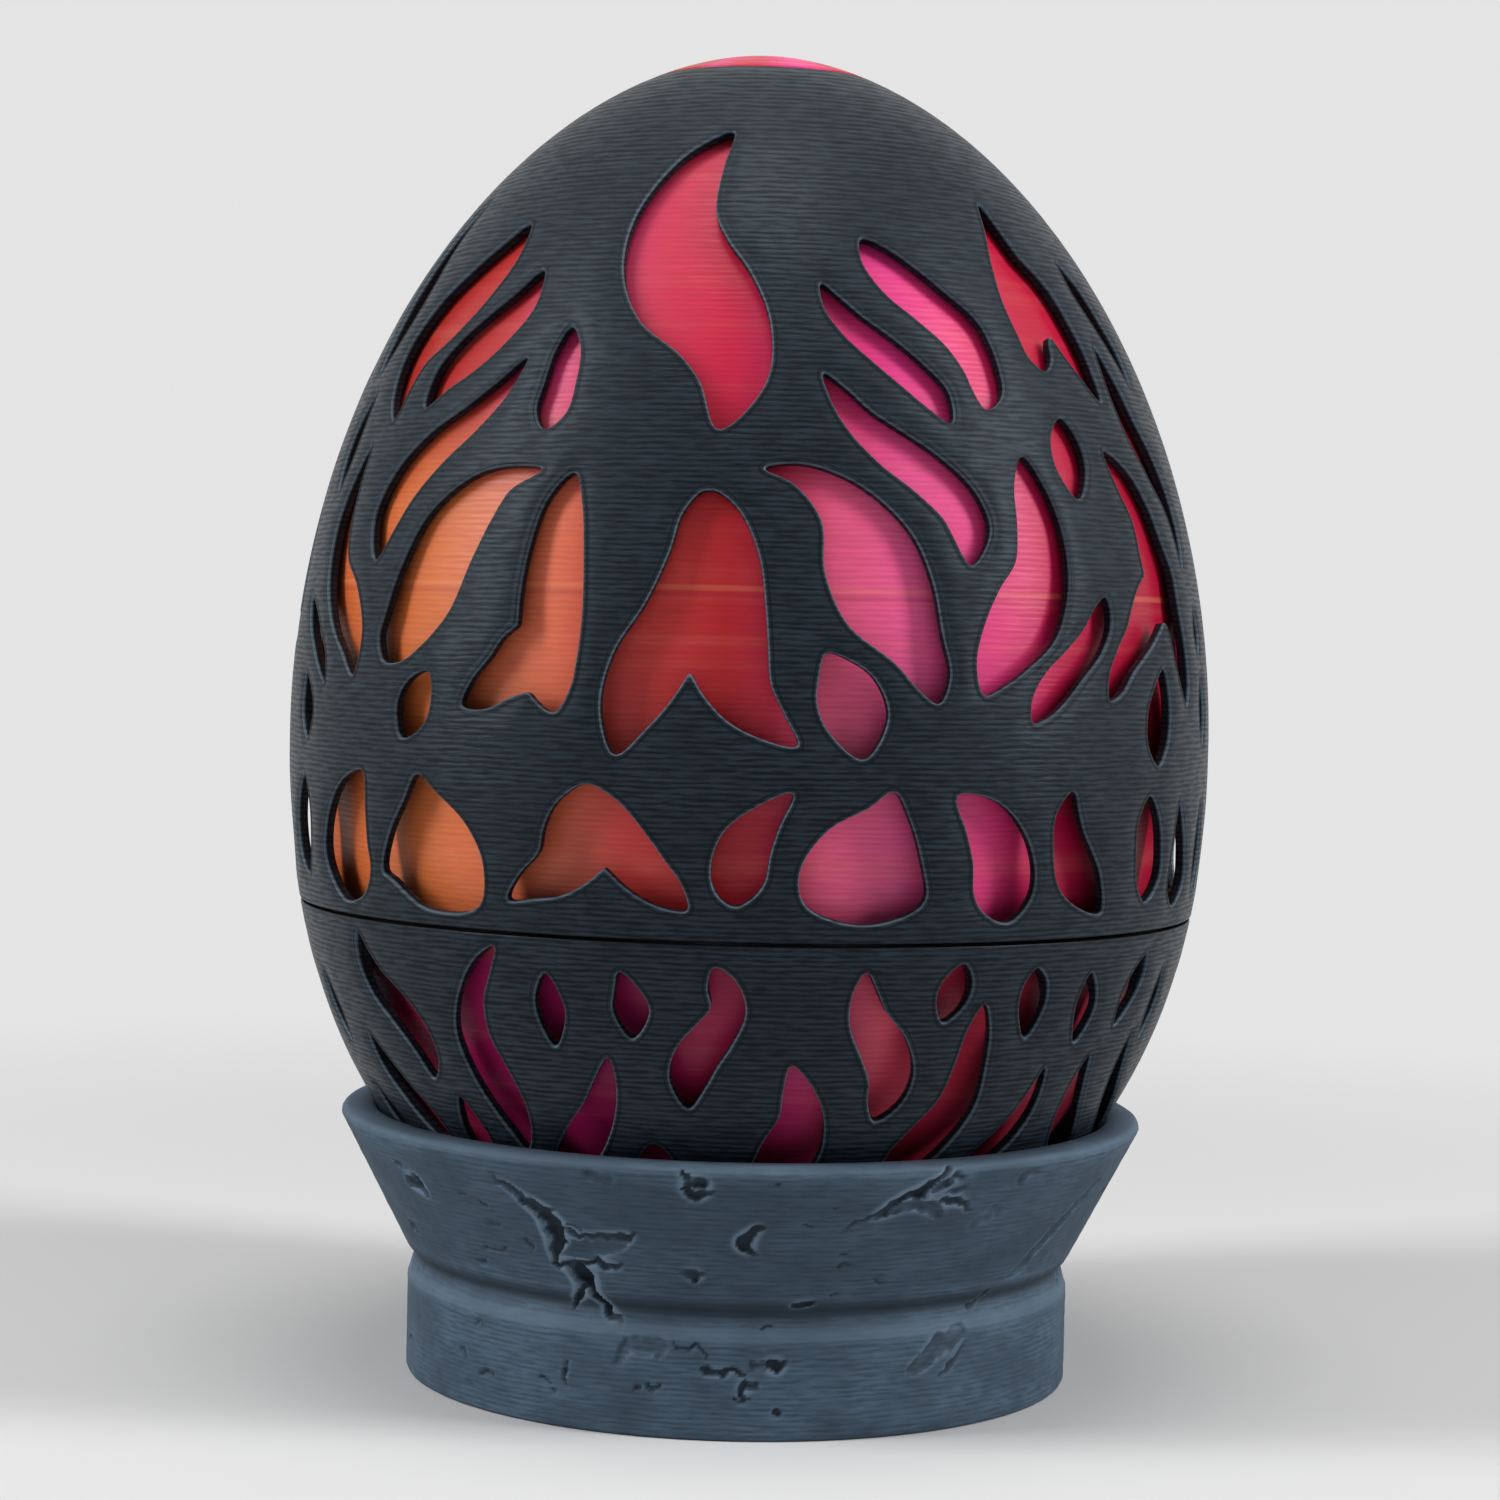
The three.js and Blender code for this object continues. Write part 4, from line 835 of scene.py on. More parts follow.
# Scars in the stand's outer face. Each is a stroke of points: azimuth, height, width, depth.
SCARS = [
    # Long crack to the left of the front, from the rim down to the groove
    [(-36, 26.3, 0.3, 0.15), (-34, 25.2, 0.8, 0.4), (-32, 24.4, 0.9, 0.5), (-30, 23.3, 1.1, 0.7),
     (-28.2, 22.8, 1.4, 1), (-26.8, 22.9, 0.5, 0.3)],
    [(-28.4, 22.4, 1.4, 1), (-27.5, 21.2, 2.3, 1.6), (-27.2, 19.9, 2, 1.4), (-28.3, 18.2, 1, 0.8),
     (-29, 17.2, 0.5, 0.3)],
    [(-25, 21.6, 0.4, 0.3), (-22.7, 21.3, 0.3, 0.2)],
    [(-26, 20.9, 0.7, 0.6), (-23, 20.6, 0.6, 0.5), (-20, 20.5, 0.6, 0.5), (-17.5, 20.6, 0.7, 0.6),
     (-15.5, 21, 0.7, 0.6), (-13.8, 21.5, 0.2, 0.1)],
    [(-27, 18.4, 1.8, 0.35), (-23.5, 18.9, 2.6, 0.4), (-20, 19.4, 2.2, 0.35), (-17.4, 20.2, 1, 0.3)],
    [(-29, 17, 0.6, 0.5), (-26, 17, 0.8, 0.7), (-24, 17.3, 0.9, 0.9), (-22, 17.7, 0.8, 0.7),
     (-20.5, 17.5, 0.8, 0.7), (-18.8, 17.3, 0.7, 0.6), (-17, 17.8, 0.3, 0.2)],
    [(-24.8, 16.6, 1.5, 1.5), (-24.2, 15.9, 2, 2.1), (-23.8, 15.1, 1.3, 1.4)],
    [(-24.6, 15, 0.9, 1), (-26, 13.4, 0.8, 0.8), (-27.5, 12.3, 0.4, 0.4)],
    [(-23.4, 14.6, 0.9, 1.1), (-22, 13.1, 0.9, 0.9), (-20.5, 12.1, 0.8, 0.7), (-19.5, 11.6, 0.7, 0.4),
     (-18.8, 11.3, 0.3, 0.2)],
    # Pits near the middle of the cone
    [(-6.8, 28.2, 0.6, 0.5), (-6.8, 26.6, 0.9, 0.8), (-5.5, 25.8, 0.9, 0.7), (-3, 26.1, 0.5, 0.3)],
    [(-5.6, 27.5, 1.3, 0.6), (-5, 26.9, 1.2, 0.8)],
    [(-8.4, 17.3, 0.4, 0.2), (-6.5, 16.7, 1.2, 0.6), (-4.6, 17.2, 0.4, 0.2)],
    [(3.8, 22.1, 0.5, 0.3), (2.2, 22, 1.2, 0.7), (0.9, 21, 1.5, 0.9), (1.8, 19.9, 1.1, 0.5),
     (3.4, 19.6, 0.4, 0.2)],
    [(-19.5, 27.2, 1.3, 0.3), (-17.6, 27.1, 1.2, 0.25)],
    # Crack to the right of the front
    [(14.5, 22.3, 0.3, 0.2), (17, 23, 0.5, 0.3), (19, 23.5, 0.6, 0.4), (20.2, 24, 0.8, 0.6),
     (21.5, 25, 0.9, 0.7), (23, 25.4, 1.2, 1.1), (25, 26, 1.3, 1.2), (26, 26.7, 1, 0.8),
     (27, 27.5, 0.8, 0.6), (28.5, 28.4, 0.7, 0.5)],
    [(22, 24.2, 1.2, 0.35), (25, 24.7, 1.8, 0.45), (27.5, 24.4, 1.6, 0.4), (29, 23.4, 1, 0.25)],
    [(29.3, 24.8, 0.9, 0.6), (31, 24.6, 0.8, 0.6), (33, 24.3, 0.6, 0.4), (34.5, 23.7, 0.5, 0.3),
     (35.6, 23.4, 0.2, 0.1)],
    [(27.4, 26.3, 1, 0.4), (28.6, 26.9, 1.2, 0.5)],
    [(29.6, 27.5, 0.9, 0.4), (30.8, 27.1, 0.8, 0.35)],
    [(30.2, 26, 0.8, 0.35), (31.4, 26.3, 0.6, 0.25)],
    [(35.6, 21.7, 1.3, 0.25), (37.6, 22.3, 1.2, 0.2)],
    [(38, 23.2, 1.1, 0.25), (39.4, 23, 1, 0.2)],
    [(41.8, 26.5, 1.3, 0.3), (44.2, 26.9, 1, 0.2)],
    [(50, 15, 1.4, 0.25), (53, 17, 1.7, 0.35), (58, 20.5, 1.6, 0.35), (61, 22, 1.3, 0.3),
     (65, 24.3, 0.8, 0.2)],
    # Left side of the cone
    [(-55.4, 23.4, 1.2, 0.5), (-53.6, 23.4, 2, 0.9), (-52, 22.6, 1.3, 0.5)],
    [(-64, 17.5, 1.2, 0.3), (-62.2, 17.5, 1.2, 0.3)],
    [(-57.4, 25.1, 0.7, 0.3), (-56.6, 24.9, 0.7, 0.3)],
    [(-45, 15.9, 0.6, 0.3), (-44, 15.9, 0.6, 0.3)],
    [(-39.8, 22.8, 0.6, 0.3), (-38.8, 22.6, 0.6, 0.3)],
    [(-43.5, 23.4, 0.5, 0.25), (-42.5, 23.2, 0.5, 0.25)],
    [(-38.8, 20.6, 0.5, 0.25), (-37.6, 20.6, 0.5, 0.25)],
    [(-41.6, 17.7, 0.5, 0.25), (-38, 17.4, 0.5, 0.25)],
    [(-33, 19.8, 0.6, 0.3), (-32, 18.6, 0.6, 0.3)],
    # Dashes between the cracks and dents at the groove
    [(4.4, 27.1, 0.4, 0.25), (5.6, 27.1, 0.4, 0.25)],
    [(12, 24.6, 0.4, 0.25), (13, 24.6, 0.4, 0.25)],
    [(9.4, 23, 0.4, 0.25), (10.6, 23, 0.4, 0.25)],
    [(15.3, 19.5, 0.5, 0.3), (16.7, 19.4, 0.4, 0.25)],
    [(15.4, 18, 0.5, 0.3), (16.6, 18, 0.4, 0.25)],
    [(15, 15, 0.4, 0.25), (16, 15, 0.4, 0.25)],
    [(21.4, 16.4, 0.4, 0.25), (22.6, 16.4, 0.4, 0.25)],
    [(9.8, 13.9, 0.7, 0.5), (11.8, 13.9, 0.7, 0.5)],
    [(4.6, 11.5, 0.5, 0.3), (5.8, 11.5, 0.5, 0.3)],
    [(42, 12.2, 0.6, 0.4), (45, 13.6, 0.6, 0.4)],
    # Base
    [(-19, 7.2, 0.5, 0.2), (-17.4, 9.4, 1.6, 0.3), (-14, 9.5, 2.2, 0.4), (-11.4, 9.3, 1.4, 0.3),
     (-12.6, 8.3, 0.8, 0.25)],
    [(-9.7, 9.6, 0.4, 0.3), (-6, 9.6, 0.4, 0.3), (-5, 8.1, 0.4, 0.25)],
    [(-5, 7.1, 0.5, 0.4), (-2.5, 7, 0.6, 0.5), (0, 7.2, 0.6, 0.5), (1.6, 6.8, 0.5, 0.3)],
    [(2.6, 7.7, 1, 0.3), (4.4, 7.6, 0.9, 0.25)],
    [(5.2, 7.9, 0.9, 0.7), (6.8, 7.7, 1.1, 0.8), (8, 7.9, 0.7, 0.4)],
    [(3.6, 5.7, 0.5, 0.3), (2, 5.8, 0.7, 0.5), (1.2, 5, 0.8, 0.5), (2.4, 4.4, 0.6, 0.3)],
    [(0.4, 4.3, 0.6, 0.35), (1.6, 4.2, 0.5, 0.3)],
    [(6.6, 2.9, 0.8, 0.5), (7.4, 2.9, 0.7, 0.4)],
    [(-27.4, 6.6, 0.4, 0.25), (-28.8, 5.3, 0.8, 0.5), (-28.2, 3.9, 0.4, 0.25)],
    [(-32.6, 4.7, 0.7, 0.4), (-31.4, 4.5, 0.6, 0.3)],
    [(-31, 4, 0.5, 0.3), (-30, 3.9, 0.5, 0.3)],
    [(-13.6, 5.2, 0.6, 0.35), (-12.4, 5.3, 0.5, 0.3)],
    [(-16, 5, 0.5, 0.3), (-15, 5, 0.5, 0.3)],
    [(-48, 9.1, 0.7, 0.3), (-46.6, 9, 0.6, 0.25)],
    [(-51.6, 5.5, 0.7, 0.3), (-50.4, 5.4, 0.6, 0.3)],
    [(-46, 4, 0.7, 0.35), (-43.6, 4, 0.7, 0.3)],
    [(-49.6, 2.4, 0.5, 0.25), (-48.4, 2.4, 0.5, 0.25)],
    [(29.6, 6.4, 0.8, 0.3), (32, 7.6, 2.2, 0.45), (35.5, 9, 2.6, 0.5), (39.5, 10, 1.6, 0.3)],
    [(35.4, 5.9, 0.5, 0.35), (37.5, 6.9, 0.6, 0.4), (40.2, 8.3, 0.4, 0.25)],
]

# Chance scars on the part of the stand that the photograph doesn't show: cracks of a few
# steps, and pits
BACK_SCARS_SEED = 11
BACK_CRACKS = 9
BACK_PITS = 42

# Stand's outer face: columns round it, spacing of rows, and the radius at which sizes round
# it are true. Its underside: radius, and where its rings lie as shares of that.
STAND_COLUMNS = 880
STAND_STEP = 0.27
STAND_RADIUS = 38
SOLE_RADIUS = BASE[0] - 0.5
SOLE_RINGS = (0.33, 0.66)

# How scars are cut: size and reach of the noise that bends them, steepness of their sides, and
# heights over which they fade out at the underside and at the rim's top
SCAR_BENDS = ((1.6, 0.22), (0.7, 0.12))
SCAR_STEEPNESS = 1.35
SCAR_FADE_LOW = 0.8
SCAR_FADE_HIGH = 0.25

# Grain of the plain face: depth, and size of its bumps
STAND_GRAIN = 0.035
GRAIN_SIZE = 0.9
GRAIN_SEED = 7

# Marks for the material: rounds of smoothing that find the lips of scars, the weight of a lip
# and the weight of a scar's depth. The marks carry painted highlights on the lips and painted
# shade in the scars.
LIP_BLUR = 8
LIP_WEIGHT = 4
CAVITY_WEIGHT = 0.5


def stand_outline():
    """Outline of the outer face from the underside to the rim's top, as radius and height,
    with small steps that break its sharp edges"""
    turns = np.radians([0, 22, 45, 68, 90])
    rim = (RIM_RADIUS - RIM_EDGE, STAND_TOP - RIM_EDGE)
    return [
        (SOLE_RADIUS, 0), (BASE[0] - 0.15, 0.1), (BASE[0], 0.4), (BASE[0], BASE[1] - 0.3),
        (BASE[0] - 0.15, BASE[1]), GROOVE, (GROOVE[0], GROOVE[1] + 0.3),
        (CONE_FOOT[0] - 0.1, CONE_FOOT[1] - 0.15), (CONE_FOOT[0] + 0.1, CONE_FOOT[1] + 0.2),
        *zip(rim[0] + RIM_EDGE * np.cos(turns), rim[1] + RIM_EDGE * np.sin(turns)),
    ]


def ripple(azimuth, height, size, seed, waves=24):
    """Smooth noise round the stand, mostly between -1 and 1, in bumps of about a size"""
    draw = np.random.default_rng(seed)
    total = np.zeros(np.broadcast(azimuth, height).shape)
    for _ in range(waves):
        lean = draw.uniform(0, math.pi)
        length = 2 * size * draw.uniform(0.7, 1.6)
        turns = round(math.cos(lean) * 2 * math.pi * STAND_RADIUS / length)
        rise = math.sin(lean) * 2 * math.pi / length
        total += np.sin(turns * azimuth + rise * height + draw.uniform(0, 2 * math.pi))
    return total / math.sqrt(waves)


def back_scars():
    """Chance scars behind the stand, of the same kinds as those in front"""
    draw = np.random.default_rng(BACK_SCARS_SEED)
    scars = []
    for _ in range(BACK_CRACKS):
        azimuth, height = draw.uniform(75, 285), draw.uniform(4, 26)
        heading = draw.uniform(-1, 1)
        crack = []
        for step in range(draw.integers(4, 9)):
            depth = draw.uniform(0.3, 0.9)
            crack.append((azimuth, height, depth * 1.3, depth))
            heading += draw.normal(0, 0.5)
            azimuth += 2.4 * math.cos(heading)
            height += 1.1 * math.sin(heading)
        scars.append(crack)
    for _ in range(BACK_PITS):
        azimuth, height = draw.uniform(68, 290), draw.uniform(2, 27.5)
        wide, depth = draw.uniform(0.5, 1.6), draw.uniform(0.2, 0.7)
        scars.append([
            (azimuth, height, wide, depth),
            (azimuth + draw.uniform(0.6, 2.6), height + draw.normal(0, 0.4), wide * 0.8, depth * 0.7),
        ])
    return scars


def scar_depth(azimuth, height):
    """How deep the scars cut into the stand at points of its outer face"""
    across = azimuth * STAND_RADIUS
    up = np.array(height)
    for i, (size, reach) in enumerate(SCAR_BENDS):
        across = across + reach * ripple(azimuth, height, size, 2 * i)
        up = up + reach * ripple(azimuth, height, size, 2 * i + 1)
    deepest = np.zeros(across.shape)
    circle = 2 * math.pi * STAND_RADIUS
    for scar in SCARS + back_scars():
        for start, end in zip(scar, scar[1:]):
            x0, x1 = (math.radians(point[0]) * STAND_RADIUS for point in (start, end))
            z0, z1 = start[1], end[1]
            dx, dz = x1 - x0, z1 - z0
            px = (across - x0 + circle / 2) % circle - circle / 2
            pz = up - z0
            share = np.clip((px * dx + pz * dz) / (dx * dx + dz * dz), 0, 1)
            off = np.hypot(px - share * dx, pz - share * dz)
            half = (start[2] + (end[2] - start[2]) * share) / 2
            deep = start[3] + (end[3] - start[3]) * share
            shape = np.clip(SCAR_STEEPNESS - SCAR_STEEPNESS * (off / half) ** 2, 0, 1)
            deepest = np.maximum(deepest, deep * shape)
    return deepest


def blurred(grid, rounds):
    """A grid of rows round the stand, smoothed"""
    for _ in range(rounds):
        grid = (np.roll(grid, 1, 1) + 2 * grid + np.roll(grid, -1, 1)) / 4
        padded = np.concatenate([grid[:1], grid, grid[-1:]])
        grid = (padded[:-2] + 2 * grid + padded[2:]) / 4
    return grid


def make_stand(material):
    outline = np.array(stand_outline())
    lengths = np.concatenate([[0], np.cumsum(np.linalg.norm(np.diff(outline, axis=0), axis=1))])
    at = np.union1d(np.linspace(0, lengths[-1], round(lengths[-1] / STAND_STEP)), lengths)
    radius, height = (np.interp(at, lengths, outline[:, axis])[:, None] for axis in (0, 1))
    azimuths = np.arange(STAND_COLUMNS) * 2 * math.pi / STAND_COLUMNS
    cut = scar_depth(azimuths[None], height) * np.clip(height / SCAR_FADE_LOW, 0, 1)
    cut *= np.clip((STAND_TOP - height) / SCAR_FADE_HIGH, 0, 1)
    grain = STAND_GRAIN * (1 + ripple(azimuths[None], height, GRAIN_SIZE, GRAIN_SEED) / 2)
    # Marks for painted highlights on the scars' lips and painted shade in their depths
    painted_light_marks = np.clip(blurred(cut, LIP_BLUR) - cut, -1, 1) * LIP_WEIGHT - cut * CAVITY_WEIGHT
    solid = Solid()
    rows = [
        ring_row(solid, azimuths, near - shift, np.full(STAND_COLUMNS, up), mark)
        for near, up, shift, mark in zip(radius[:, 0], height[:, 0], cut + grain, painted_light_marks)
    ]
    seat_top = arc_at_height(STAND_TOP, -FIT)
    seat = [egg_profile(arc, -FIT) for arc in np.linspace(seat_top, 0, SEAT_ROWS)[:-1]]
    rows += [ring_row(solid, azimuths, *point) for point in seat]
    sole = [(share * SOLE_RADIUS, 0) for share in SOLE_RINGS]
    under = [ring_row(solid, azimuths, *point) for point in sole] + rows[:1]
    solid.bands(rows)
    solid.bands(under)
    solid.close(under[0], (0, 0, 0))
    solid.close(rows[-1], (0, 0, EGG_BASE - FIT))
    return solid.build("stand_skin", material)


def tint(code):
    """Linear colour of a screen colour"""
    parts = (int(code[i:i + 2], 16) / 255 for i in (0, 2, 4))
    return (*(c / 12.92 if c <= 0.04045 else ((c + 0.055) / 1.055) ** 2.4 for c in parts), 1)


class Paint:
    """A material and short forms for its nodes, with sizes in millimetres"""

    def __init__(self, name, roughness, specular):
        self.material = bpy.data.materials.new(name)
        self.material.use_nodes = True
        self.tree = self.material.node_tree
        self.shader = self.tree.nodes["Principled BSDF"]
        self.shader.inputs["Roughness"].default_value = roughness
        self.shader.inputs["Specular IOR Level"].default_value = specular
        self.spot = self.add("ShaderNodeTexCoord", {}).outputs["Object"]
        parts = self.add("ShaderNodeSeparateXYZ", {0: self.spot})
        self.x, self.y, self.z = parts.outputs

    def add(self, kind, inputs, **settings):
        node = self.tree.nodes.new(kind)
        for name, value in settings.items():
            setattr(node, name, value)
        for name, value in inputs.items():
            self.feed(node.inputs[name], value)
        return node

    def feed(self, socket, value):
        if isinstance(value, bpy.types.NodeSocket):
            self.tree.links.new(value, socket)
        else:
            socket.default_value = value

    def math(self, operation, *values):
        return self.add("ShaderNodeMath", dict(enumerate(values)), operation=operation).outputs[0]

    def noise(self, along, tall, detail=2):
        """Noise with spots of a length along the layers and a height across them"""
        scale = (1 / (along * MM), 1 / (along * MM), 1 / (tall * MM))
        spot = self.add("ShaderNodeVectorMath", {0: self.spot, 1: scale}, operation="MULTIPLY")
        inputs = {"Vector": spot.outputs[0], "Scale": 1, "Detail": detail, "Roughness": 0.6}
        return self.add("ShaderNodeTexNoise", inputs).outputs["Fac"]

    def span(self, value, low, high, to_low=0, to_high=1):
        """A value moved smoothly from one range to another, and kept in it"""
        inputs = {
            "Value": value,
            "From Min": low,
            "From Max": high,
            "To Min": to_low,
            "To Max": to_high,
        }
        return self.add("ShaderNodeMapRange", inputs, interpolation_type="SMOOTHSTEP").outputs[0]

    def step(self, start, end, most=1):
        """A soft step up from 0, from one height in millimetres to another"""
        return self.span(self.z, start * MM, end * MM, 0, most)

    def belt(self, rise, fall, most):
        """A belt round the piece that grows in over one pair of heights and out over another"""
        return self.math("MULTIPLY", self.math("MULTIPLY", self.step(*rise), self.step(*fall)), most)

    def off_height(self, height):
        """Distance from a height in millimetres"""
        return self.math("ABSOLUTE", self.math("SUBTRACT", self.z, height * MM))

    def ramp(self, value, stops):
        """Screen colours by value"""
        node = self.add("ShaderNodeValToRGB", {0: value})
        points = node.color_ramp.elements
        while len(points) < len(stops):
            points.new(0.5)
        for point, (place, _) in zip(points, stops):
            point.position = place
        for point, (_, code) in zip(points, stops):
            point.color = tint(code)
        return node.outputs[0]

    def mix(self, share, first, second):
        inputs = {0: share, 6: first, 7: second}
        return self.add("ShaderNodeMix", inputs, data_type="RGBA").outputs[2]

    def cover(self, share, colour, code):
        """A colour under a share of a screen colour"""
        return self.mix(share, colour, tint(code))

    def edge(self):
        return self.add("ShaderNodeAttribute", {}, attribute_name="edge").outputs["Fac"]

    def relief(self, height, distance):
        inputs = {"Height": height, "Distance": distance * MM, "Strength": 1}
        self.feed(self.shader.inputs["Normal"], self.add("ShaderNodeBump", inputs).outputs[0])

    def colour(self, value):
        self.feed(self.shader.inputs["Base Color"], value)

    def rough(self, value):
        self.feed(self.shader.inputs["Roughness"], value)


# Printed lines: height over which the uneven layers repeat, as the eye sees them, the size of
# the noise that makes them waver and how far it does, and the height of the dashes in them
LINE_PITCH = 0.55
LINE_WANDER = (14, 3)
LINE_WANDER_REACH = 9
DASH_HEIGHT = 0.34

# Range of values over which the printed lines go from a hollow to a ridge
HOLLOW_TO_RIDGE = (0.6, 1.1)


def layer_lines(paint, along, share):
    """Level printed lines, mostly from 0.5 to 1.2: a wavering ridge with a share in them, and
    dashes of a length"""
    wander = paint.math("MULTIPLY", paint.noise(*LINE_WANDER), LINE_WANDER_REACH)
    turns = paint.math("MULTIPLY_ADD", paint.z, 2 * math.pi / (LINE_PITCH * MM), wander)
    ridges = paint.math("MULTIPLY_ADD", paint.math("SINE", turns), share / 2, 0.5 - share / 2)
    return paint.math("ADD", paint.noise(along, DASH_HEIGHT), ridges)


# Screen colours of the shells, from the hollows between the printed lines to the beads. The
# seam's and the groove's colours are painted shade, and the bead's is a painted highlight.
SHELL_HOLLOW = "090D11"
SHELL_RIDGE = "263039"
SHELL_CLOUD = "0F1519"
SHELL_SEAM_SHADE = "06080A"
SHELL_GROOVE_SHADE = "080A0D"
SHELL_BEAD_HIGHLIGHT = "52606C"
SHELL_GLOSS = (0.72, 0.88, 1, 1)

# Marks between which painted shade darkens the groove behind a bead and the walls of openings
# and then fades again, and those over which a painted highlight makes the bead bright
SHADE_FROM = (0.35, 0.5)
SHADE_TO = (0.8, 0.6)
BEAD_HIGHLIGHT_MARKS = (0.86, 0.97)


def shell_paint():
    paint = Paint("shell_plastic", 0.42, 0.15)
    paint.shader.inputs["Specular Tint"].default_value = SHELL_GLOSS
    lines = layer_lines(paint, 2.4, 0.3)
    clouds = paint.noise(6, 4)
    ridge = paint.span(lines, *HOLLOW_TO_RIDGE)
    colour = paint.mix(ridge, tint(SHELL_HOLLOW), tint(SHELL_RIDGE))
    colour = paint.cover(paint.span(clouds, 0.35, 0.7, 0, 0.25), colour, SHELL_CLOUD)
    # Painted shade: a ragged dark line along the seam between the shells
    ragged = paint.math("MULTIPLY_ADD", paint.noise(1.6, 3), -0.6 * MM, paint.off_height(SEAM))
    seam = paint.span(ragged, 0.1 * MM, -0.15 * MM, 0, 0.9)
    colour = paint.cover(seam, colour, SHELL_SEAM_SHADE)
    edge = paint.edge()
    # Painted shade in the groove behind each bead and on the walls of the openings
    groove = paint.math("MULTIPLY", paint.span(edge, *SHADE_FROM), paint.span(edge, *SHADE_TO))
    colour = paint.cover(paint.math("MULTIPLY", groove, 0.8), colour, SHELL_GROOVE_SHADE)
    # Painted highlight along the bead at each opening
    bead = paint.math("MULTIPLY", paint.span(edge, *BEAD_HIGHLIGHT_MARKS), paint.span(lines, 0.6, 1, 0.5, 1))
    colour = paint.cover(bead, colour, SHELL_BEAD_HIGHLIGHT)
    paint.colour(colour)
    paint.rough(paint.span(lines, *HOLLOW_TO_RIDGE, 0.5, 0.38))
    paint.relief(lines, 0.05)
    return paint.material


# Screen colours of the inner egg by azimuth: below the seam, round the middle and near the
# crown
SILK_LOW = [
    (-180, "A82848"), (-75, "A02038"), (-52, "A81C50"), (-34, "B01C64"), (-14, "A01858"),
    (-2, "B01C50"), (8, "C83070"), (18, "E0506A"), (27, "B02840"), (45, "B03048"), (75, "A02840"),
    (180, "A82848"),
]
SILK_MIDDLE = [
    (-180, "B82C34"), (-110, "C0442E"), (-70, "C86232"), (-44, "D0703A"), (-24, "E07050"),
    (-15, "CC4440"), (-3, "BC262C"), (3, "C82C48"), (9, "F4608A"), (20, "F8609C"), (30, "F03C84"),
    (40, "C01448"), (58, "A80C30"), (80, "A01030"), (180, "B82C34"),
]
# Near the crown, the stops at -60 and -40 are the silk's colour darkened a little with painted shade
SILK_HIGH = [
    (-180, "B82834"), (-100, "A82A2A"), (-60, "A42A22"), (-40, "B42C2C"), (-28, "D83A74"),
    (-16, "CC3450"), (-4, "C81C40"), (8, "DC2C68"), (20, "F03C90"), (32, "E82C70"), (44, "C01038"),
    (75, "A80C30"), (180, "B82834"),
]

# Heights between which these colours change, and the crown's own colour grows in
LOW_TO_MIDDLE = (47, 52)
MIDDLE_TO_HIGH = (92, 106)
CROWN_FADE = (EGG_TOP - 1, EGG_TOP)

# Colours over them: the crown's, broad pale bands and dark printed lines
SILK_CROWN = "C82440"
SILK_BAND = "F0806C"
SILK_RIDGE = "801028"

# Single printed lines of another colour, by height
SILK_LINES = ((85.2, "F49A6C"), (84.5, "8C1434"))


def by_azimuth(paint, stops):
    azimuth = paint.math("ARCTAN2", paint.x, paint.math("MULTIPLY", paint.y, -1))
    share = paint.math("MULTIPLY_ADD", azimuth, 0.5 / math.pi, 0.5)
    return paint.ramp(share, [(degrees / 360 + 0.5, code) for degrees, code in stops])


def silk_paint():
    paint = Paint("silk_plastic", 0.36, 0.22)
    low, middle, high = (by_azimuth(paint, stops) for stops in (SILK_LOW, SILK_MIDDLE, SILK_HIGH))
    colour = paint.mix(paint.step(*LOW_TO_MIDDLE), low, middle)
    colour = paint.mix(paint.step(*MIDDLE_TO_HIGH), colour, high)
    colour = paint.cover(paint.step(*CROWN_FADE, 0.7), colour, SILK_CROWN)
    bands = paint.noise(300, 2.2, 1)
    lines = layer_lines(paint, 4, 0.3)
    colour = paint.cover(paint.span(bands, 0.5, 0.75, 0, 0.12), colour, SILK_BAND)
    colour = paint.cover(paint.span(lines, *HOLLOW_TO_RIDGE, 0, 0.2), colour, SILK_RIDGE)
    for height, code in SILK_LINES:
        near = paint.span(paint.off_height(height), 0.4 * MM, 0.15 * MM, 0, 0.2)
        colour = paint.cover(near, colour, code)
    paint.colour(colour)
    paint.rough(paint.span(lines, *HOLLOW_TO_RIDGE, 0.32, 0.44))
    paint.relief(lines, 0.02)
    return paint.material


# Screen colours of the stand
STAND_CLOUDS = ("394C5D", "4B6073")
STAND_HOLLOW = "21303C"
STAND_CONE_SHADE = "1C2A36"
STAND_CREASE_SHADE = "16202A"
STAND_EDGE_HIGHLIGHT = "667A8D"
STAND_CAVITY_SHADE = "141C23"
STAND_LIP_HIGHLIGHT = "71869A"

# Heights between which painted shade darkens the cone and the crease at its foot, and painted
# highlights make the base's upper edge and the rim paler
CONE_SHADE = ((13, 17), (28, 26))
SHADED_CREASE = ((12, 12.7), (14.6, 13.7))
BASE_HIGHLIGHT = ((9.4, 10.5), (12, 10.9))
RIM_HIGHLIGHT = (27.6, 28.6)


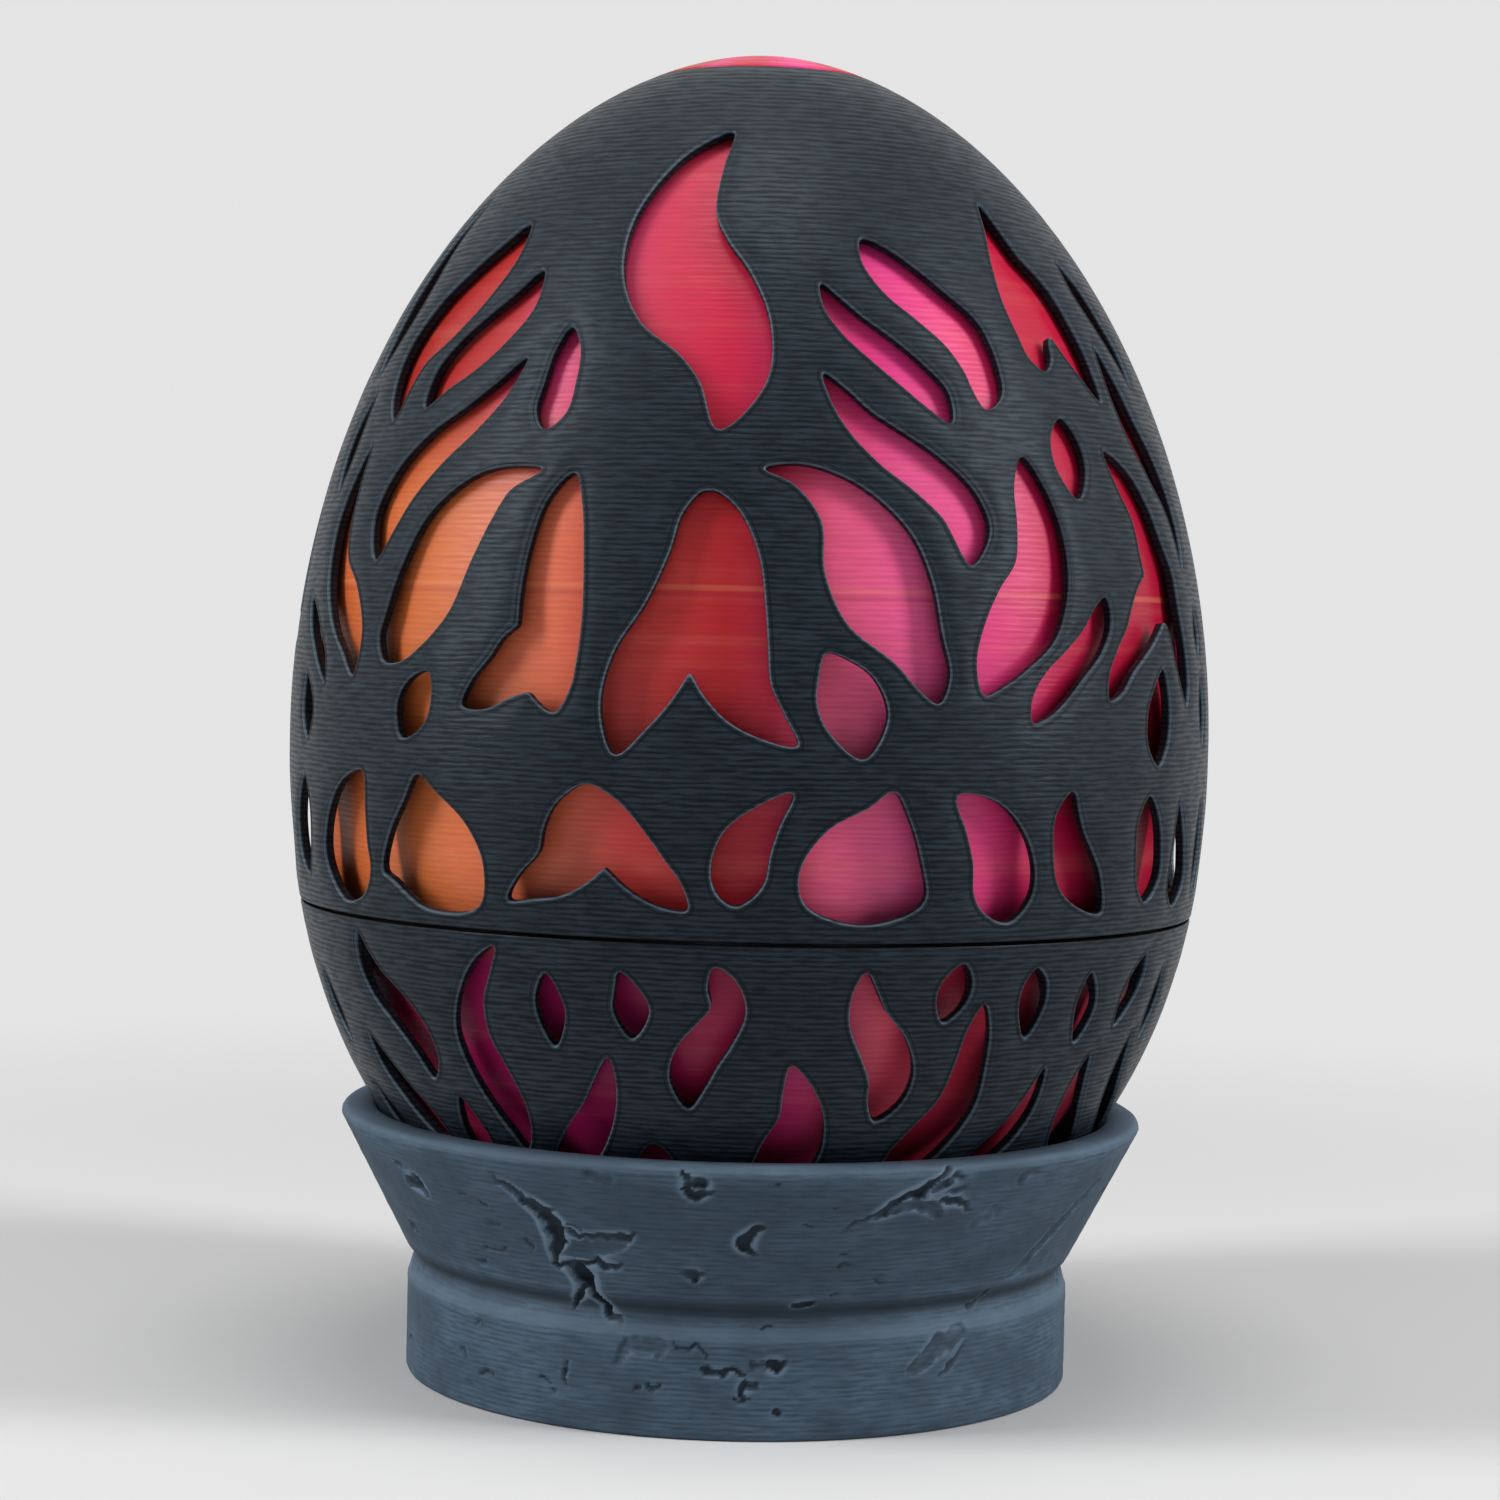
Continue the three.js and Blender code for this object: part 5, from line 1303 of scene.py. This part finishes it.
def stand_paint():
    paint = Paint("stand_plastic", 0.7, 0.3)
    lines = layer_lines(paint, 2.4, 0.2)
    clouds = paint.span(paint.noise(9, 5), 0.3, 0.7)
    colour = paint.mix(clouds, *(tint(code) for code in STAND_CLOUDS))
    hollow = paint.span(lines, *reversed(HOLLOW_TO_RIDGE), 0, 0.75)
    colour = paint.cover(hollow, colour, STAND_HOLLOW)
    # Painted shade on the cone, whose face leans downward
    colour = paint.cover(paint.belt(*CONE_SHADE, 0.35), colour, STAND_CONE_SHADE)
    # Painted shade in the crease under the cone
    colour = paint.cover(paint.belt(*SHADED_CREASE, 0.7), colour, STAND_CREASE_SHADE)
    # Painted highlights on the base's upper edge and on the rim's top
    upper_edge_highlight = paint.math("MAXIMUM", paint.belt(*BASE_HIGHLIGHT, 0.4), paint.step(*RIM_HIGHLIGHT, 0.4))
    colour = paint.cover(upper_edge_highlight, colour, STAND_EDGE_HIGHLIGHT)
    edge = paint.edge()
    # Painted shade in the scars and painted highlights on their lips
    colour = paint.cover(paint.span(edge, -0.1, -1.2, 0, 0.7), colour, STAND_CAVITY_SHADE)
    colour = paint.cover(paint.span(edge, 0.08, 0.8, 0, 0.55), colour, STAND_LIP_HIGHLIGHT)
    paint.colour(colour)
    paint.rough(paint.span(lines, *HOLLOW_TO_RIDGE, 0.62, 0.8))
    paint.relief(lines, 0.04)
    return paint.material


shell_plastic = shell_paint()
silk_plastic = silk_paint()
stand_plastic = stand_paint()

# Each piece replaces its node and rides on the body of the same name
for make, material, node, slot in (
    (make_upper_shell, shell_plastic, "upper_shell", "shell"),
    (make_lower_shell, shell_plastic, "lower_shell", "shell"),
    (make_inner_upper, silk_plastic, "inner_egg_upper", "inner_egg"),
    (make_inner_lower, silk_plastic, "inner_egg_lower", "inner_egg"),
    (make_stand, stand_plastic, "stand", "stand"),
):
    piece = make(material)
    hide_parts(node)
    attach(piece, node)

# Surroundings: colour and brightness of the pale background, the floor's own colour, and the
# distances in metres between which the floor turns into background
BACKGROUND = (0.78, 0.78, 0.78, 1)
FLOOR_COLOUR = (0.7, 0.7, 0.7, 1)
FLOOR_RADIUS = 6
FLOOR_FADE = (0.1, 0.34)
WORLD_LIGHT = 0.16

# Camera at the photograph's angle
CAMERA_PLACE = (0, -372.23, 82.47)
CAMERA_LENS = 81.38
CAMERA_DIP = 2.245
CAMERA_ROLL = 1.335
CAMERA_PAN = -0.018

# Soft boxes: place, point aimed at, width and height in metres, power in watts
LIGHTS = {
    "key_left": ((-0.66, -0.21, 0.46), (0, 0, 0.08), (0.16, 0.7), 5),
    "key_right": ((0.67, -0.2, 0.46), (0, 0, 0.08), (0.16, 0.7), 5),
    "top": ((0, -0.1, 0.75), (0, 0, 0.08), (0.3, 0.3), 1.6),
}


def seen_share(paint):
    """1 for rays that see the background: from the camera, in gloss or through glass"""
    path = paint.add("ShaderNodeLightPath", {}).outputs
    seen = paint.math("MAXIMUM", path["Is Camera Ray"], path["Is Glossy Ray"])
    return paint.math("MAXIMUM", seen, path["Is Transmission Ray"])


def add_floor():
    paint = Paint("floor_paint", 0.9, 0)
    paint.colour(FLOOR_COLOUR)
    flat = paint.add("ShaderNodeVectorMath", {0: paint.spot}, operation="LENGTH").outputs["Value"]
    share = paint.math("MULTIPLY", paint.span(flat, *FLOOR_FADE), seen_share(paint))
    glow = paint.add("ShaderNodeEmission", {"Color": BACKGROUND, "Strength": 1})
    shaders = {0: share, 1: paint.shader.outputs[0], 2: glow.outputs[0]}
    both = paint.add("ShaderNodeMixShader", shaders)
    output = paint.tree.nodes["Material Output"]
    paint.feed(output.inputs["Surface"], both.outputs[0])
    mesh = bpy.data.meshes.new("floor")
    turns = np.radians(np.arange(0, 360, 5))
    mesh.from_pydata(
        [(FLOOR_RADIUS * math.cos(a), FLOOR_RADIUS * math.sin(a), 0) for a in turns],
        [],
        [list(range(len(turns)))],
    )
    mesh.materials.append(paint.material)
    floor = bpy.data.objects.new("floor", mesh)
    bpy.context.scene.collection.objects.link(floor)


def add_world():
    world = bpy.data.worlds.new("studio")
    world.use_nodes = True
    nodes, links = world.node_tree.nodes, world.node_tree.links
    path = nodes.new("ShaderNodeLightPath").outputs
    seen = path["Is Camera Ray"]
    for name in ("Is Glossy Ray", "Is Transmission Ray"):
        either = nodes.new("ShaderNodeMath")
        either.operation = "MAXIMUM"
        links.new(seen, either.inputs[0])
        links.new(path[name], either.inputs[1])
        seen = either.outputs[0]
    mix = nodes.new("ShaderNodeMix")
    mix.data_type = "RGBA"
    mix.inputs[6].default_value = (WORLD_LIGHT, WORLD_LIGHT, WORLD_LIGHT, 1)
    mix.inputs[7].default_value = BACKGROUND
    links.new(seen, mix.inputs[0])
    links.new(mix.outputs[2], nodes["Background"].inputs["Color"])
    nodes["Background"].inputs["Strength"].default_value = 1
    bpy.context.scene.world = world


def add_light(name, place, aim, size, power):
    light = bpy.data.lights.new(name, "AREA")
    light.shape = "RECTANGLE"
    light.size, light.size_y = size
    light.energy = power
    lamp = bpy.data.objects.new(name, light)
    lamp.location = place
    lamp.rotation_euler = (Vector(aim) - Vector(place)).to_track_quat("-Z", "Y").to_euler()
    bpy.context.scene.collection.objects.link(lamp)


def add_camera():
    camera = bpy.data.cameras.new("camera")
    camera.sensor_width = 36
    camera.lens = CAMERA_LENS
    view = bpy.data.objects.new("camera", camera)
    look = Matrix.Rotation(math.radians(CAMERA_PAN), 4, "Z")
    look = look @ Matrix.Rotation(math.radians(90 - CAMERA_DIP), 4, "X")
    look = look @ Matrix.Rotation(math.radians(CAMERA_ROLL), 4, "Z")
    view.matrix_world = Matrix.Translation(Vector(CAMERA_PLACE) * MM) @ look
    bpy.context.scene.collection.objects.link(view)
    bpy.context.scene.camera = view


add_floor()
add_world()
add_camera()
for name, (place, aim, size, power) in LIGHTS.items():
    add_light(name, place, aim, size, power)
bpy.context.scene.view_settings.view_transform = "Standard"
